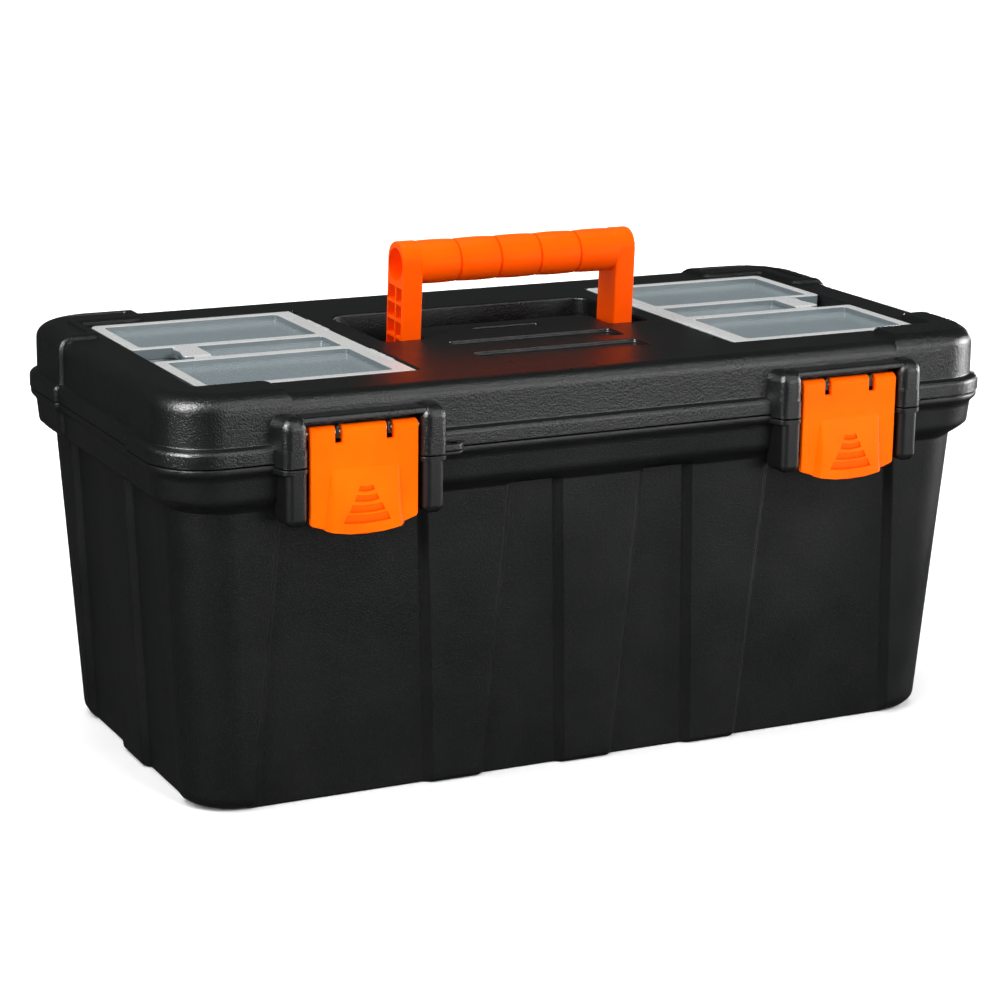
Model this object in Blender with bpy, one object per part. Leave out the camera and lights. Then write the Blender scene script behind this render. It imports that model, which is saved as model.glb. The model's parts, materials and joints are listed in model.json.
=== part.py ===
"""Carpenter's toolbox: a tapered plastic tub with a hinged lid, a folding carry handle, two over-centre
latches, a lift-out tray, and two small-parts organizers sunk in the lid under their own clear covers.

Metres, +Z up. The origin is under the middle of the base; +X runs along the box, and the latches face -Y.
"""

import math

import bmesh
import bpy
from mathutils import Matrix, Vector

# Rim, where lid and tub meet: the widest part. Every horizontal section is this outline, inset.
RIM_X = 0.280
RIM_Y = 0.1415
RIM_RADIUS = 0.036
CORNER_STEPS = 5
SPLIT_Z = 0.2165
GAP = 0.0003

# Tub
WALL_TOP_Z = 0.190
WALL_INSET = 0.0122
TAPER = 0.012
FOOT_ROUND = 0.006
PANEL_DEPTH = 0.0045
PANEL_SLOPE = 0.95
PANEL_TOP_Z = 0.1865
WALL = 0.0070
FLOOR_Z = 0.003
LEDGE_Z = 0.1945
RIB_PITCH = 0.0895
# Half widths of the ribs, and where the corner columns start: (at the base, under the rim)
FRONT_RIB = (0.0155, 0.0270)
FRONT_COLUMN = (0.2230, 0.2100)
SIDE_RIB = (0.0170, 0.0270)
SIDE_COLUMN = (0.0850, 0.0750)
# The insides of the ribs and columns are hollowed to keep the wall even
RIB_HOLLOW = 0.0042
RIB_SKIN = 0.0040
HOLLOW_LOW_Z = 0.010
HOLLOW_HIGH_Z = 0.178
CORNER_BLOCK = 0.034

# Lid
LID_TOP_Z = 0.254
BAND_TOP_Z = 0.227
LID_INSET = 0.004
DECK_UNDER_Z = 0.2508
WELL_FLOOR_Z = 0.222
WELL_WALL = 0.002
PAD_TOP_Z = 0.257
PAD_X = 0.209
PAD_Y = 0.0535
PAD_INNER_X = 0.2485
PAD_INNER_Y = 0.1030

SKIN_X = 0.0600
SKIN_Y = (-0.0900, -0.0260)
SKIN_LOW_Z = 0.2485
SLOT_X = 0.0565
SLOTS_Y = ((-0.0865, -0.0655), (-0.0520, -0.0295))
SLOT_DEPTH = 0.0026
LABEL_X = (-0.0240, 0.0220)
LABEL_Y = (-0.0050, 0.0040)
LABEL_DEPTH = 0.0010
# A cutter or a well that opens through a surface passes it by this much
PAST = 0.010

# Handle and its recess
PIVOT_Y = -0.003
PIVOT_Z = 0.239
ARM_IN = 0.068
ARM_OUT = 0.0815
ARM_DEPTH = 0.0246
GRIP_Z = 0.3006
GRIP_RADIUS = 0.01375
HANDLE_TOP_Z = 0.3144
RECESS_X = 0.093
PLATFORM_X = 0.0655
RECESS_FRONT_Y = -0.0165
PLATFORM_BACK_Y = 0.018
RECESS_BACK_Y = 0.0755
HANDLE_PIN_RADIUS = 0.003
HANDLE_PIN_IN = 0.0595
BOSS_X = (0.0575, 0.0645)
BOSS_HALF = 0.007
GRIP_SEGMENTS = 5
GROOVE_HALF = 0.0005
GROOVE_DEPTH = 0.0007
# The arms' outer faces: columns of small pockets between rungs, and one tall pocket above them
ARM_POCKET_X = (0.0750, 0.0900)
ARM_POCKETS_Y = ((-0.0125, -0.0052), (-0.0038, 0.0065))
ARM_POCKET_LOW_Z = 0.2478
ARM_POCKETS = 4
RUNG_PITCH = 0.0109
RUNG = 0.0014
TALL_POCKET_Z = (0.2928, 0.3085)

# Latches, their guard posts and the padlock eye
LATCH_X = 0.164
LATCH_WIDTH = 0.0675
LATCH_FACE_Y = -0.1485
LATCH_PLATE = 0.003
LATCH_BOTTOM_Z = 0.175
PANEL_TOP = (0.0215, 0.2110)
PANEL_FOOT = (0.0245, 0.1745)
STRIKE_HALF = 0.014
STRIKE_LOW_Z = 0.192
STRIKE_HIGH_Z = 0.204
STRIKE_ROOT_Y = -0.1340
LEDGE_OVER_LATCH = (0.2400, 0.2435)
PIN_RIB = (0.0012, 0.2287, 0.2359)
LATCH_SLOT_X = 0.016
LATCH_SLOT = 0.0038
LATCH_SLOT_Z = 0.2265
LATCH_AXIS_Y = -0.1443
LATCH_AXIS_Z = 0.2323
BARREL_RADIUS = 0.0042
LATCH_PIN_RADIUS = 0.0015
LATCH_PIN_HALF = 0.0377
LATCH_PIN_END = 0.0005
GUARD_Y = -0.152
GUARD_TOP_Z = 0.2445
GUARD_BOTTOM_Z = 0.179
GUARD_HALF = 0.00725
GUARD_OFFSET = 0.04275
GUARD_ROOT_Y = -0.1345
LOWER_GUARD_BACK_Y = -0.1335
ROOT_HALF = 0.00475
ROOT_Y = (-0.1440, -0.1235)
ROOT_Z = (0.1815, 0.1920)
EYE_X = -0.108
EYE_Y = -0.1462
EYE_TOP_Z = 0.2200
EYE_LOW_Z = 0.2132
EYE_HOLE_RADIUS = 0.0032

# Rear hinges
HINGE_X = 0.165
HINGE_AXIS_Y = 0.1475
HINGE_AXIS_Z = 0.2164
KNUCKLE_RADIUS = 0.005
KNUCKLE_HALF = 0.012
HINGE_HALF = 0.026
HINGE_PIN_RADIUS = 0.002
BRACKET_ROOT_Y = 0.1385

# Organizers
ORG_IN = 0.1075
ORG_OUT = 0.2455
ORG_Y = 0.100
ORG_RADIUS = 0.005
ORG_CLEAR = 0.0007
BIN_TOP_Z = 0.2467
BIN_WALL = 0.0015
BIN_FLOOR = 0.0015
NOTCH_IN = 0.218
NOTCH_Y = 0.019
COVER_NOSE = 0.0035
COVER_UNDER_Z = 0.247
PANE_Z = 0.2488
PANE_X = (0.122, 0.236)
PANE_Y = (0.0275, 0.088)
MIDDLE_PANE_X = 0.203
MIDDLE_PANE_Y = 0.0155
TAB_X = 0.2165
TAB_HALF = 0.0150
TAB_LOW_Z = 0.2400

# Tray
TRAY_BOTTOM_Z = 0.150
TRAY_RIM_Z = 0.1975
TRAY_FLOOR_Z = 0.1525
TRAY_WALL_X = 0.2530
HUMP_X = 0.0750
HUMP_TOP_Z = 0.2130
HAND_HOLE = (0.0500, 0.1750, 0.2040)

HOLE_CLEARANCE = 0.00015

BLACK = ((0.012, 0.013, 0.013), 0.45, 0.0)
TRAY_BLACK = ((0.020, 0.021, 0.021), 0.55, 0.0)
ORANGE = ((0.90, 0.16, 0.01), 0.38, 0.0)
CLEAR = ((0.72, 0.77, 0.80), 0.30, 0.0)
MILKY = ((0.80, 0.83, 0.84), 0.40, 0.0)
STEEL = ((0.55, 0.55, 0.56), 0.30, 1.0)


# Scene and objects

def clear_scene():
    for obj in list(bpy.data.objects):
        bpy.data.objects.remove(obj)


def new_collection(name):
    made = bpy.data.collections.new(name)
    bpy.context.scene.collection.children.link(made)
    return made


def material(name, look):
    colour, roughness, metallic = look
    made = bpy.data.materials.new(name)
    made.use_nodes = True
    shader = made.node_tree.nodes["Principled BSDF"]
    shader.inputs["Base Color"].default_value = (*colour, 1.0)
    shader.inputs["Roughness"].default_value = roughness
    shader.inputs["Metallic"].default_value = metallic
    return made


def add_object(name, bm, collection, origin=(0, 0, 0)):
    """Turns a bmesh in world coordinates into an object whose own origin is at the point given."""
    bmesh.ops.recalc_face_normals(bm, faces=bm.faces)
    bmesh.ops.translate(bm, vec=-Vector(origin), verts=bm.verts)
    mesh = bpy.data.meshes.new(name)
    bm.to_mesh(mesh)
    bm.free()
    mesh.shade_smooth()
    mesh.set_sharp_from_angle(angle=math.radians(35))
    obj = bpy.data.objects.new(name, mesh)
    obj.location = origin
    collection.objects.link(obj)
    return obj


def add_part(name, bm, look, origin=(0, 0, 0)):
    obj = add_object(name, bm, PARTS, origin)
    obj.data.materials.append(material(name, look))
    return obj


def combine(obj, operation, name, bm):
    """A Boolean modifier on obj whose operand is a hidden object made from the bmesh."""
    tool = add_object(name, bm, CUTTERS)
    tool.hide_render = True
    tool.display_type = "WIRE"
    modifier = obj.modifiers.new(name, "BOOLEAN")
    modifier.operation = operation
    modifier.solver = "EXACT"
    modifier.use_self = True
    modifier.object = tool


def join(obj, name, bm):
    combine(obj, "UNION", name, bm)


def cut(obj, name, bm):
    combine(obj, "DIFFERENCE", name, bm)


# Shapes, each added to a bmesh

def ring(inset, z):
    """The rim's outline moved in by the inset: a rectangle with round corners, at height z."""
    radius = RIM_RADIUS - 0.25 * inset
    cx = RIM_X - inset - radius
    cy = RIM_Y - inset - radius
    points = []
    for quarter, (sx, sy) in enumerate(((1, 1), (-1, 1), (-1, -1), (1, -1))):
        for step in range(CORNER_STEPS + 1):
            angle = math.radians(90 * (quarter + step / CORNER_STEPS))
            points.append((sx * cx + radius * math.cos(angle), sy * cy + radius * math.sin(angle), z))
    return points


def add_loft(bm, profile):
    """A closed solid through the rings of a profile of (inset, z) pairs, from the bottom up."""
    rings = [[bm.verts.new(point) for point in ring(inset, z)] for inset, z in profile]
    for low, high in zip(rings, rings[1:]):
        for i in range(len(low)):
            j = (i + 1) % len(low)
            bm.faces.new((low[i], low[j], high[j], high[i]))
    bm.faces.new(reversed(rings[0]))
    bm.faces.new(rings[-1])


def add_box(bm, low, high, bevel=0.0, segments=2):
    """A box between two corners in any order, its edges rounded when a bevel is given."""
    low, high = Vector(low), Vector(high)
    size = [abs(high[i] - low[i]) for i in range(3)]
    matrix = Matrix.Translation((low + high) / 2) @ Matrix.Diagonal((*size, 1.0))
    made = bmesh.ops.create_cube(bm, size=1.0, matrix=matrix)
    if bevel:
        edges = list({edge for vert in made["verts"] for edge in vert.link_edges})
        bmesh.ops.bevel(bm, geom=edges, offset=bevel, segments=segments, profile=0.5, affect="EDGES")


def add_wedge(bm, corner):
    """A six-sided block whose eight corners are corner(i, j, k), each index being 0 or 1."""
    made = bmesh.ops.create_cube(bm, size=2.0)
    for vert in made["verts"]:
        vert.co = corner(*(int(value > 0) for value in vert.co))


def add_rod(bm, start, end, radius, sides=16):
    start, end = Vector(start), Vector(end)
    turn = Vector((0, 0, 1)).rotation_difference(end - start).to_matrix().to_4x4()
    bmesh.ops.create_cone(
        bm,
        cap_ends=True,
        segments=sides,
        radius1=radius,
        radius2=radius,
        depth=(end - start).length,
        matrix=Matrix.Translation((start + end) / 2) @ turn,
    )


def rounded(corners, steps=3):
    """The outline through (x, y, radius) corners, in order, with an arc at each corner that has a radius."""
    outline = []
    for i, (x, y, radius) in enumerate(corners):
        here = Vector((x, y))
        to_last = (Vector(corners[i - 1][:2]) - here).normalized()
        to_next = (Vector(corners[(i + 1) % len(corners)][:2]) - here).normalized()
        if not radius:
            outline.append(here)
            continue
        half = to_last.angle(to_next) / 2
        centre = here + (to_last + to_next).normalized() * radius / math.sin(half)
        first = here + to_last * radius / math.tan(half) - centre
        last = here + to_next * radius / math.tan(half) - centre
        sweep = first.angle_signed(last)
        for step in range(steps + 1):
            outline.append(centre + Matrix.Rotation(-sweep * step / steps, 2) @ first)
    return outline


def add_plate(bm, outline, low_z, high_z):
    """A flat plate: the filled outline as a 2D curve, extruded both ways, then made a mesh."""
    data = bpy.data.curves.new("outline", "CURVE")
    data.dimensions = "2D"
    data.fill_mode = "BOTH"
    data.extrude = (high_z - low_z) / 2
    spline = data.splines.new("POLY")
    spline.points.add(len(outline) - 1)
    for point, (x, y) in zip(spline.points, outline):
        point.co = (x, y, 0, 1)
    spline.use_cyclic_u = True
    curve = bpy.data.objects.new("outline", data)
    bpy.context.scene.collection.objects.link(curve)
    graph = bpy.context.evaluated_depsgraph_get()
    mesh = bpy.data.meshes.new_from_object(curve.evaluated_get(graph))
    bpy.data.objects.remove(curve)
    mesh.transform(Matrix.Translation((0, 0, (low_z + high_z) / 2)))
    plate = bmesh.new()
    plate.from_mesh(mesh)
    bmesh.ops.remove_doubles(plate, verts=plate.verts, dist=0.00001)
    plate.to_mesh(mesh)
    plate.free()
    bm.from_mesh(mesh)
    bpy.data.meshes.remove(mesh)


# Tub

def wall_inset(z):
    return WALL_INSET + TAPER * (1 - z / WALL_TOP_Z)


def tub_shell():
    bm = bmesh.new()
    add_loft(bm, [
        (wall_inset(0) + FOOT_ROUND, 0.0),
        (wall_inset(0) + 0.3 * FOOT_ROUND, 0.3 * FOOT_ROUND),
        (wall_inset(FOOT_ROUND), FOOT_ROUND),
        (wall_inset(PANEL_TOP_Z), PANEL_TOP_Z),
        (0.0085, 0.1900),
        (0.0060, 0.1940),
        (0.0045, 0.2090),
        (0.0005, 0.2130),
        (0.0005, SPLIT_Z - GAP),
    ])
    return bm


def tub_hollow():
    bm = bmesh.new()
    add_loft(bm, [
        (wall_inset(FLOOR_Z) + WALL + 0.004, FLOOR_Z),
        (wall_inset(FLOOR_Z + 0.004) + WALL, FLOOR_Z + 0.004),
        (wall_inset(WALL_TOP_Z) + WALL, LEDGE_Z),
        (0.0100, LEDGE_Z),
        (0.0080, SPLIT_Z + 0.010),
    ])
    return bm


def add_pocket(bm, side, low_span, high_span):
    """One sunk panel. side is (dx, dy), the wall's outward direction; a span is (bottom, top) along it."""
    dx, dy = side
    half = RIM_X if dx else RIM_Y

    def corner(along, inward, up):
        z = PANEL_TOP_Z if up else -0.004
        depth = PANEL_DEPTH if inward else -0.004
        bottom, top = high_span if along else low_span
        s = bottom + (top - bottom) * z / WALL_TOP_Z
        s += (-1 if along else 1) * PANEL_SLOPE * depth
        out = half - wall_inset(z) - depth
        return (dx * out, s, z) if dx else (s, dy * out, z)

    add_wedge(bm, corner)


def tub_panels():
    bm = bmesh.new()
    foot, head = FRONT_RIB
    inner_foot, inner_head = RIB_PITCH - foot, RIB_PITCH - head
    outer_foot, outer_head = RIB_PITCH + foot, RIB_PITCH + head
    for dy in (-1, 1):
        for sign in (-1, 1):
            spans = (
                ((sign * foot, sign * head), (sign * inner_foot, sign * inner_head)),
                ((sign * outer_foot, sign * outer_head), (sign * FRONT_COLUMN[0], sign * FRONT_COLUMN[1])),
            )
            for span in spans:
                add_pocket(bm, (0, dy), *sorted(span))
    for dx in (-1, 1):
        for sign in (-1, 1):
            span = (
                (sign * SIDE_RIB[0], sign * SIDE_RIB[1]),
                (sign * SIDE_COLUMN[0], sign * SIDE_COLUMN[1]),
            )
            add_pocket(bm, (dx, 0), *sorted(span))
    return bm


def rib_hollows():
    """Blocks that hollow out each rib and corner column from inside, leaving their skins."""
    bm = bmesh.new()

    def add_hollow(side, low_span, high_span):
        dx, dy = side
        half = RIM_X if dx else RIM_Y

        def corner(along, inward, up):
            z = HOLLOW_HIGH_Z if up else HOLLOW_LOW_Z
            bottom, top = high_span if along else low_span
            s = bottom + (top - bottom) * z / WALL_TOP_Z
            out = half - wall_inset(z) - (WALL + GAP if inward else WALL - RIB_HOLLOW)
            return (dx * out, s, z) if dx else (s, dy * out, z)

        add_wedge(bm, corner)

    foot, head = (value - RIB_SKIN for value in FRONT_RIB)
    for dy in (-1, 1):
        for middle in (-RIB_PITCH, 0, RIB_PITCH):
            add_hollow((0, dy), (middle - foot, middle - head), (middle + foot, middle + head))
        low = (FRONT_COLUMN[0] + RIB_SKIN, FRONT_COLUMN[1] + RIB_SKIN)
        high = (RIM_X - TAPER - CORNER_BLOCK, RIM_X - CORNER_BLOCK)
        add_hollow((0, dy), low, high)
        add_hollow((0, dy), (-high[0], -high[1]), (-low[0], -low[1]))
    foot, head = (value - RIB_SKIN for value in SIDE_RIB)
    for dx in (-1, 1):
        add_hollow((dx, 0), (-foot, -head), (foot, head))
    return bm


def guard_posts(low_z, high_z, back_y, trim):
    bm = bmesh.new()
    for side in (-1, 1):
        for offset in (-GUARD_OFFSET, GUARD_OFFSET):
            x = side * LATCH_X + offset
            half = GUARD_HALF - trim
            add_box(bm, (x - half, GUARD_Y, low_z), (x + half, back_y, high_z), 0.004)
    return bm


def guard_roots():
    """Blocks that tie the lower guard posts to the wall, which slopes away behind them."""
    bm = bmesh.new()
    for side in (-1, 1):
        for offset in (-GUARD_OFFSET, GUARD_OFFSET):
            x = side * LATCH_X + offset
            low = (x - ROOT_HALF, ROOT_Y[0], ROOT_Z[0])
            add_box(bm, low, (x + ROOT_HALF, ROOT_Y[1], ROOT_Z[1]))
    return bm


def latch_strikes():
    bm = bmesh.new()
    for side in (-1, 1):
        x = side * LATCH_X
        front = LATCH_FACE_Y + LATCH_PLATE + GAP
        low = (x - STRIKE_HALF, front, STRIKE_LOW_Z)
        add_box(bm, low, (x + STRIKE_HALF, STRIKE_ROOT_Y, STRIKE_HIGH_Z), 0.003)
    return bm


def eye_tab(low_z, high_z):
    """Half of the padlock eye: a round-nosed tab beside the left latch's inner guard post."""
    bm = bmesh.new()
    add_plate(bm, rounded([
        (EYE_X - 0.008, 0.004 - RIM_Y, 0),
        (EYE_X - 0.008, GUARD_Y + 0.001, 0),
        (EYE_X + 0.0085, GUARD_Y + 0.001, 0.009),
        (EYE_X + 0.0085, 0.004 - RIM_Y, 0),
    ], 5), low_z, high_z)
    return bm


def eye_hole():
    bm = bmesh.new()
    add_rod(bm, (EYE_X, EYE_Y, 0.205), (EYE_X, EYE_Y, 0.230), EYE_HOLE_RADIUS, 12)
    return bm


def hinge_knuckles(spans, bracket_low_z, bracket_high_z):
    """Knuckles round the lid's axis, each with the bracket that joins it to the rim."""
    bm = bmesh.new()
    for side in (-1, 1):
        for low, high in spans:
            start = side * HINGE_X + low
            end = side * HINGE_X + high
            axis = (HINGE_AXIS_Y, HINGE_AXIS_Z)
            add_rod(bm, (start, *axis), (end, *axis), KNUCKLE_RADIUS)
            add_box(bm, (start, BRACKET_ROOT_Y, bracket_low_z), (end, HINGE_AXIS_Y, bracket_high_z))
    return bm


def hinge_bores():
    bm = bmesh.new()
    for side in (-1, 1):
        start = side * HINGE_X - HINGE_HALF - 0.002
        end = side * HINGE_X + HINGE_HALF + 0.002
        radius = HINGE_PIN_RADIUS + HOLE_CLEARANCE
        add_rod(bm, (start, HINGE_AXIS_Y, HINGE_AXIS_Z), (end, HINGE_AXIS_Y, HINGE_AXIS_Z), radius)
    return bm


def make_tub():
    tub = add_part("tub", tub_shell(), BLACK)
    cut(tub, "tub_panels", tub_panels())
    cut(tub, "tub_hollow", tub_hollow())
    cut(tub, "tub_rib_hollows", rib_hollows())
    join(tub, "tub_guards", guard_posts(GUARD_BOTTOM_Z, SPLIT_Z - GAP, LOWER_GUARD_BACK_Y, 0.001))
    join(tub, "tub_guard_roots", guard_roots())
    join(tub, "tub_strikes", latch_strikes())
    join(tub, "tub_eye", eye_tab(EYE_LOW_Z, SPLIT_Z - GAP))
    cut(tub, "tub_eye_hole", eye_hole())
    outer = ((-HINGE_HALF, -KNUCKLE_HALF - GAP), (KNUCKLE_HALF + GAP, HINGE_HALF))
    join(tub, "tub_knuckles", hinge_knuckles(outer, HINGE_AXIS_Z - KNUCKLE_RADIUS, SPLIT_Z - GAP))
    cut(tub, "tub_hinge_bores", hinge_bores())


def make_hinge_pins():
    for side, word in ((-1, "left"), (1, "right")):
        x = side * HINGE_X
        bm = bmesh.new()
        start = (x - HINGE_HALF + 0.001, HINGE_AXIS_Y, HINGE_AXIS_Z)
        end = (x + HINGE_HALF - 0.001, HINGE_AXIS_Y, HINGE_AXIS_Z)
        add_rod(bm, start, end, HINGE_PIN_RADIUS)
        add_part("hinge_pin_" + word, bm, STEEL, (x, HINGE_AXIS_Y, HINGE_AXIS_Z))


def make_tray():
    """The lift-out tray: its rim sits on the tub's ledge, and a carrying wall parts its two long bays."""
    bm = bmesh.new()
    add_loft(bm, [
        (0.0310, TRAY_BOTTOM_Z),
        (0.0280, TRAY_BOTTOM_Z + 0.003),
        (0.0235, LEDGE_Z + GAP),
        (0.0112, LEDGE_Z + GAP),
        (0.0112, TRAY_RIM_Z),
    ])
    tray = add_part("tray", bm, TRAY_BLACK)
    bm = bmesh.new()
    add_loft(bm, [
        (0.0330, TRAY_FLOOR_Z),
        (0.0300, TRAY_FLOOR_Z + 0.003),
        (0.0257, TRAY_RIM_Z + 0.002),
    ])
    cut(tray, "tray_hollow", bm)
    bm = bmesh.new()
    low_z = TRAY_BOTTOM_Z + 0.001
    add_box(bm, (-TRAY_WALL_X, -0.0015, low_z), (TRAY_WALL_X, 0.0015, TRAY_RIM_Z - 0.001))
    add_box(bm, (-HUMP_X, -0.0060, low_z), (HUMP_X, 0.0060, HUMP_TOP_Z), 0.003)
    join(tray, "tray_wall", bm)
    bm = bmesh.new()
    half, low_z, high_z = HAND_HOLE
    add_box(bm, (-half, -0.0200, low_z), (half, 0.0200, high_z), 0.004)
    cut(tray, "tray_hand_hole", bm)


# Lid

def lid_shell():
    bm = bmesh.new()
    top = LID_TOP_Z
    add_loft(bm, [
        (0.0, SPLIT_Z + GAP),
        (0.0, BAND_TOP_Z - 0.0025),
        (0.0010, BAND_TOP_Z - 0.0008),
        (LID_INSET, BAND_TOP_Z),
        (LID_INSET, top - 0.0085),
        (LID_INSET + 0.0008, top - 0.0045),
        (LID_INSET + 0.0035, top - 0.0012),
        (LID_INSET + 0.0085, top),
    ])
    return bm


def lid_hollow():
    bm = bmesh.new()
    add_loft(bm, [
        (0.0065, SPLIT_Z - 0.001),
        (0.0070, DECK_UNDER_Z - 0.006),
        (0.0130, DECK_UNDER_Z),
    ])
    return bm


def organizer_outline(side, grow):
    """The hole for an organizer: nearly square corners on its hinge side, round ones on its outer side."""
    x0 = side * (ORG_IN - grow)
    x1 = side * (ORG_OUT + grow)
    y = ORG_Y + grow
    radius = ORG_RADIUS + grow
    return rounded([(x0, -y, grow), (x1, -y, radius), (x1, y, radius), (x0, y, grow)])


def recess_outline(grow):
    """The U-shaped handle recess round three sides of the platform, seen from above."""
    outer = RECESS_X + grow
    inner = PLATFORM_X - grow
    front = RECESS_FRONT_Y - grow
    step = PLATFORM_BACK_Y - grow
    back = RECESS_BACK_Y + grow
    return rounded([
        (-outer, front, 0.003), (-inner, front, 0.003), (-inner, step, 0.009), (inner, step, 0.009),
        (inner, front, 0.003), (outer, front, 0.003), (outer, back, 0.012), (-outer, back, 0.012),
    ])


def lid_wells():
    bm = bmesh.new()
    for side in (-1, 1):
        outline = organizer_outline(side, ORG_CLEAR + WELL_WALL)
        add_plate(bm, outline, WELL_FLOOR_Z - WELL_WALL, DECK_UNDER_Z + 0.0015)
    add_plate(bm, recess_outline(WELL_WALL), WELL_FLOOR_Z - WELL_WALL, DECK_UNDER_Z + 0.0015)
    return bm


def lid_pockets():
    bm = bmesh.new()
    for side in (-1, 1):
        add_plate(bm, organizer_outline(side, ORG_CLEAR), WELL_FLOOR_Z, LID_TOP_Z + PAST)
    add_plate(bm, recess_outline(0), WELL_FLOOR_Z, LID_TOP_Z + PAST)
    return bm


def lid_platform_back():
    """The thicker skin under the platform's slots, and the bosses that take the handle's pins."""
    bm = bmesh.new()
    add_box(bm, (-SKIN_X, SKIN_Y[0], SKIN_LOW_Z), (SKIN_X, SKIN_Y[1], DECK_UNDER_Z + 0.001))
    for side in (-1, 1):
        low = (side * BOSS_X[0], PIVOT_Y - BOSS_HALF, PIVOT_Z - BOSS_HALF)
        add_box(bm, low, (side * BOSS_X[1], PIVOT_Y + BOSS_HALF, PIVOT_Z + BOSS_HALF))
    return bm


def lid_slots():
    bm = bmesh.new()
    top = LID_TOP_Z + PAST
    for front, back in SLOTS_Y:
        add_box(bm, (-SLOT_X, front, LID_TOP_Z - SLOT_DEPTH), (SLOT_X, back, top))
    add_box(bm, (LABEL_X[0], LABEL_Y[0], LID_TOP_Z - LABEL_DEPTH), (LABEL_X[1], LABEL_Y[1], top))
    return bm


def corner_pads():
    """The raised L at each corner of the lid."""
    bm = bmesh.new()
    out_x = RIM_X - LID_INSET - 0.0005
    out_y = RIM_Y - LID_INSET - 0.0005
    for sx in (-1, 1):
        for sy in (-1, 1):
            corners = [
                (PAD_X, out_y, 0.002), (out_x, out_y, RIM_RADIUS - 0.0015), (out_x, PAD_Y, 0.002),
                (PAD_INNER_X, PAD_Y, 0.004), (PAD_INNER_X, PAD_INNER_Y, 0.004), (PAD_X, PAD_INNER_Y, 0.004),
            ]
            outline = rounded([(sx * x, sy * y, radius) for x, y, radius in corners], 4)
            add_plate(bm, outline, LID_TOP_Z - PAST, PAD_TOP_Z)
    return bm


def latch_mounts():
    """Between each pair of upper guard posts: a ledge over the latch, and two ribs that carry its pin."""
    bm = bmesh.new()
    for side in (-1, 1):
        x = side * LATCH_X
        reach = GUARD_OFFSET - GUARD_HALF + 0.003
        low_z, high_z = LEDGE_OVER_LATCH
        add_box(bm, (x - reach, GUARD_Y + 0.003, low_z), (x + reach, GUARD_ROOT_Y, high_z))
        half, low_z, high_z = PIN_RIB
        for offset in (-LATCH_SLOT_X, LATCH_SLOT_X):
            low = (x + offset - half, LATCH_FACE_Y + 0.0017, low_z)
            add_box(bm, low, (x + offset + half, GUARD_ROOT_Y, high_z))
    return bm


def latch_pin_bores():
    bm = bmesh.new()
    for side in (-1, 1):
        reach = LATCH_PIN_HALF + LATCH_PIN_END
        start = (side * LATCH_X - reach, LATCH_AXIS_Y, LATCH_AXIS_Z)
        end = (side * LATCH_X + reach, LATCH_AXIS_Y, LATCH_AXIS_Z)
        add_rod(bm, start, end, LATCH_PIN_RADIUS + HOLE_CLEARANCE, 12)
    return bm


def handle_pin_bores():
    bm = bmesh.new()
    for side in (-1, 1):
        start = (side * (HANDLE_PIN_IN - 0.0005), PIVOT_Y, PIVOT_Z)
        end = (side * (ARM_IN - 0.0005), PIVOT_Y, PIVOT_Z)
        add_rod(bm, start, end, HANDLE_PIN_RADIUS + HOLE_CLEARANCE)
    return bm


def make_lid():
    lid = add_part("lid", lid_shell(), BLACK, (0, HINGE_AXIS_Y, HINGE_AXIS_Z))
    cut(lid, "lid_hollow", lid_hollow())
    join(lid, "lid_wells", lid_wells())
    join(lid, "lid_platform_back", lid_platform_back())
    join(lid, "lid_pads", corner_pads())
    cut(lid, "lid_pockets", lid_pockets())
    cut(lid, "lid_slots", lid_slots())
    join(lid, "lid_guards", guard_posts(SPLIT_Z + GAP, GUARD_TOP_Z, GUARD_ROOT_Y, 0.0))
    join(lid, "lid_latch_mounts", latch_mounts())
    join(lid, "lid_eye", eye_tab(SPLIT_Z + GAP, EYE_TOP_Z))
    cut(lid, "lid_eye_hole", eye_hole())
    middle = ((-KNUCKLE_HALF + GAP, KNUCKLE_HALF - GAP),)
    join(lid, "lid_knuckles", hinge_knuckles(middle, SPLIT_Z + GAP, HINGE_AXIS_Z + KNUCKLE_RADIUS))
    cut(lid, "lid_hinge_bores", hinge_bores())
    cut(lid, "lid_latch_bores", latch_pin_bores())
    cut(lid, "lid_handle_bores", handle_pin_bores())


# Handle

def arm_outline():
    """An arm seen from the side: round about its pivot at the foot, square with eased corners at the top."""
    front = PIVOT_Y - ARM_DEPTH / 2
    back = PIVOT_Y + ARM_DEPTH / 2
    low = PIVOT_Z - ARM_DEPTH / 2
    foot = ARM_DEPTH / 2 - 0.0002
    return rounded([
        (front, low, foot), (back, low, foot), (back, HANDLE_TOP_Z, 0.008), (front, HANDLE_TOP_Z, 0.008),
    ], 5)


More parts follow.
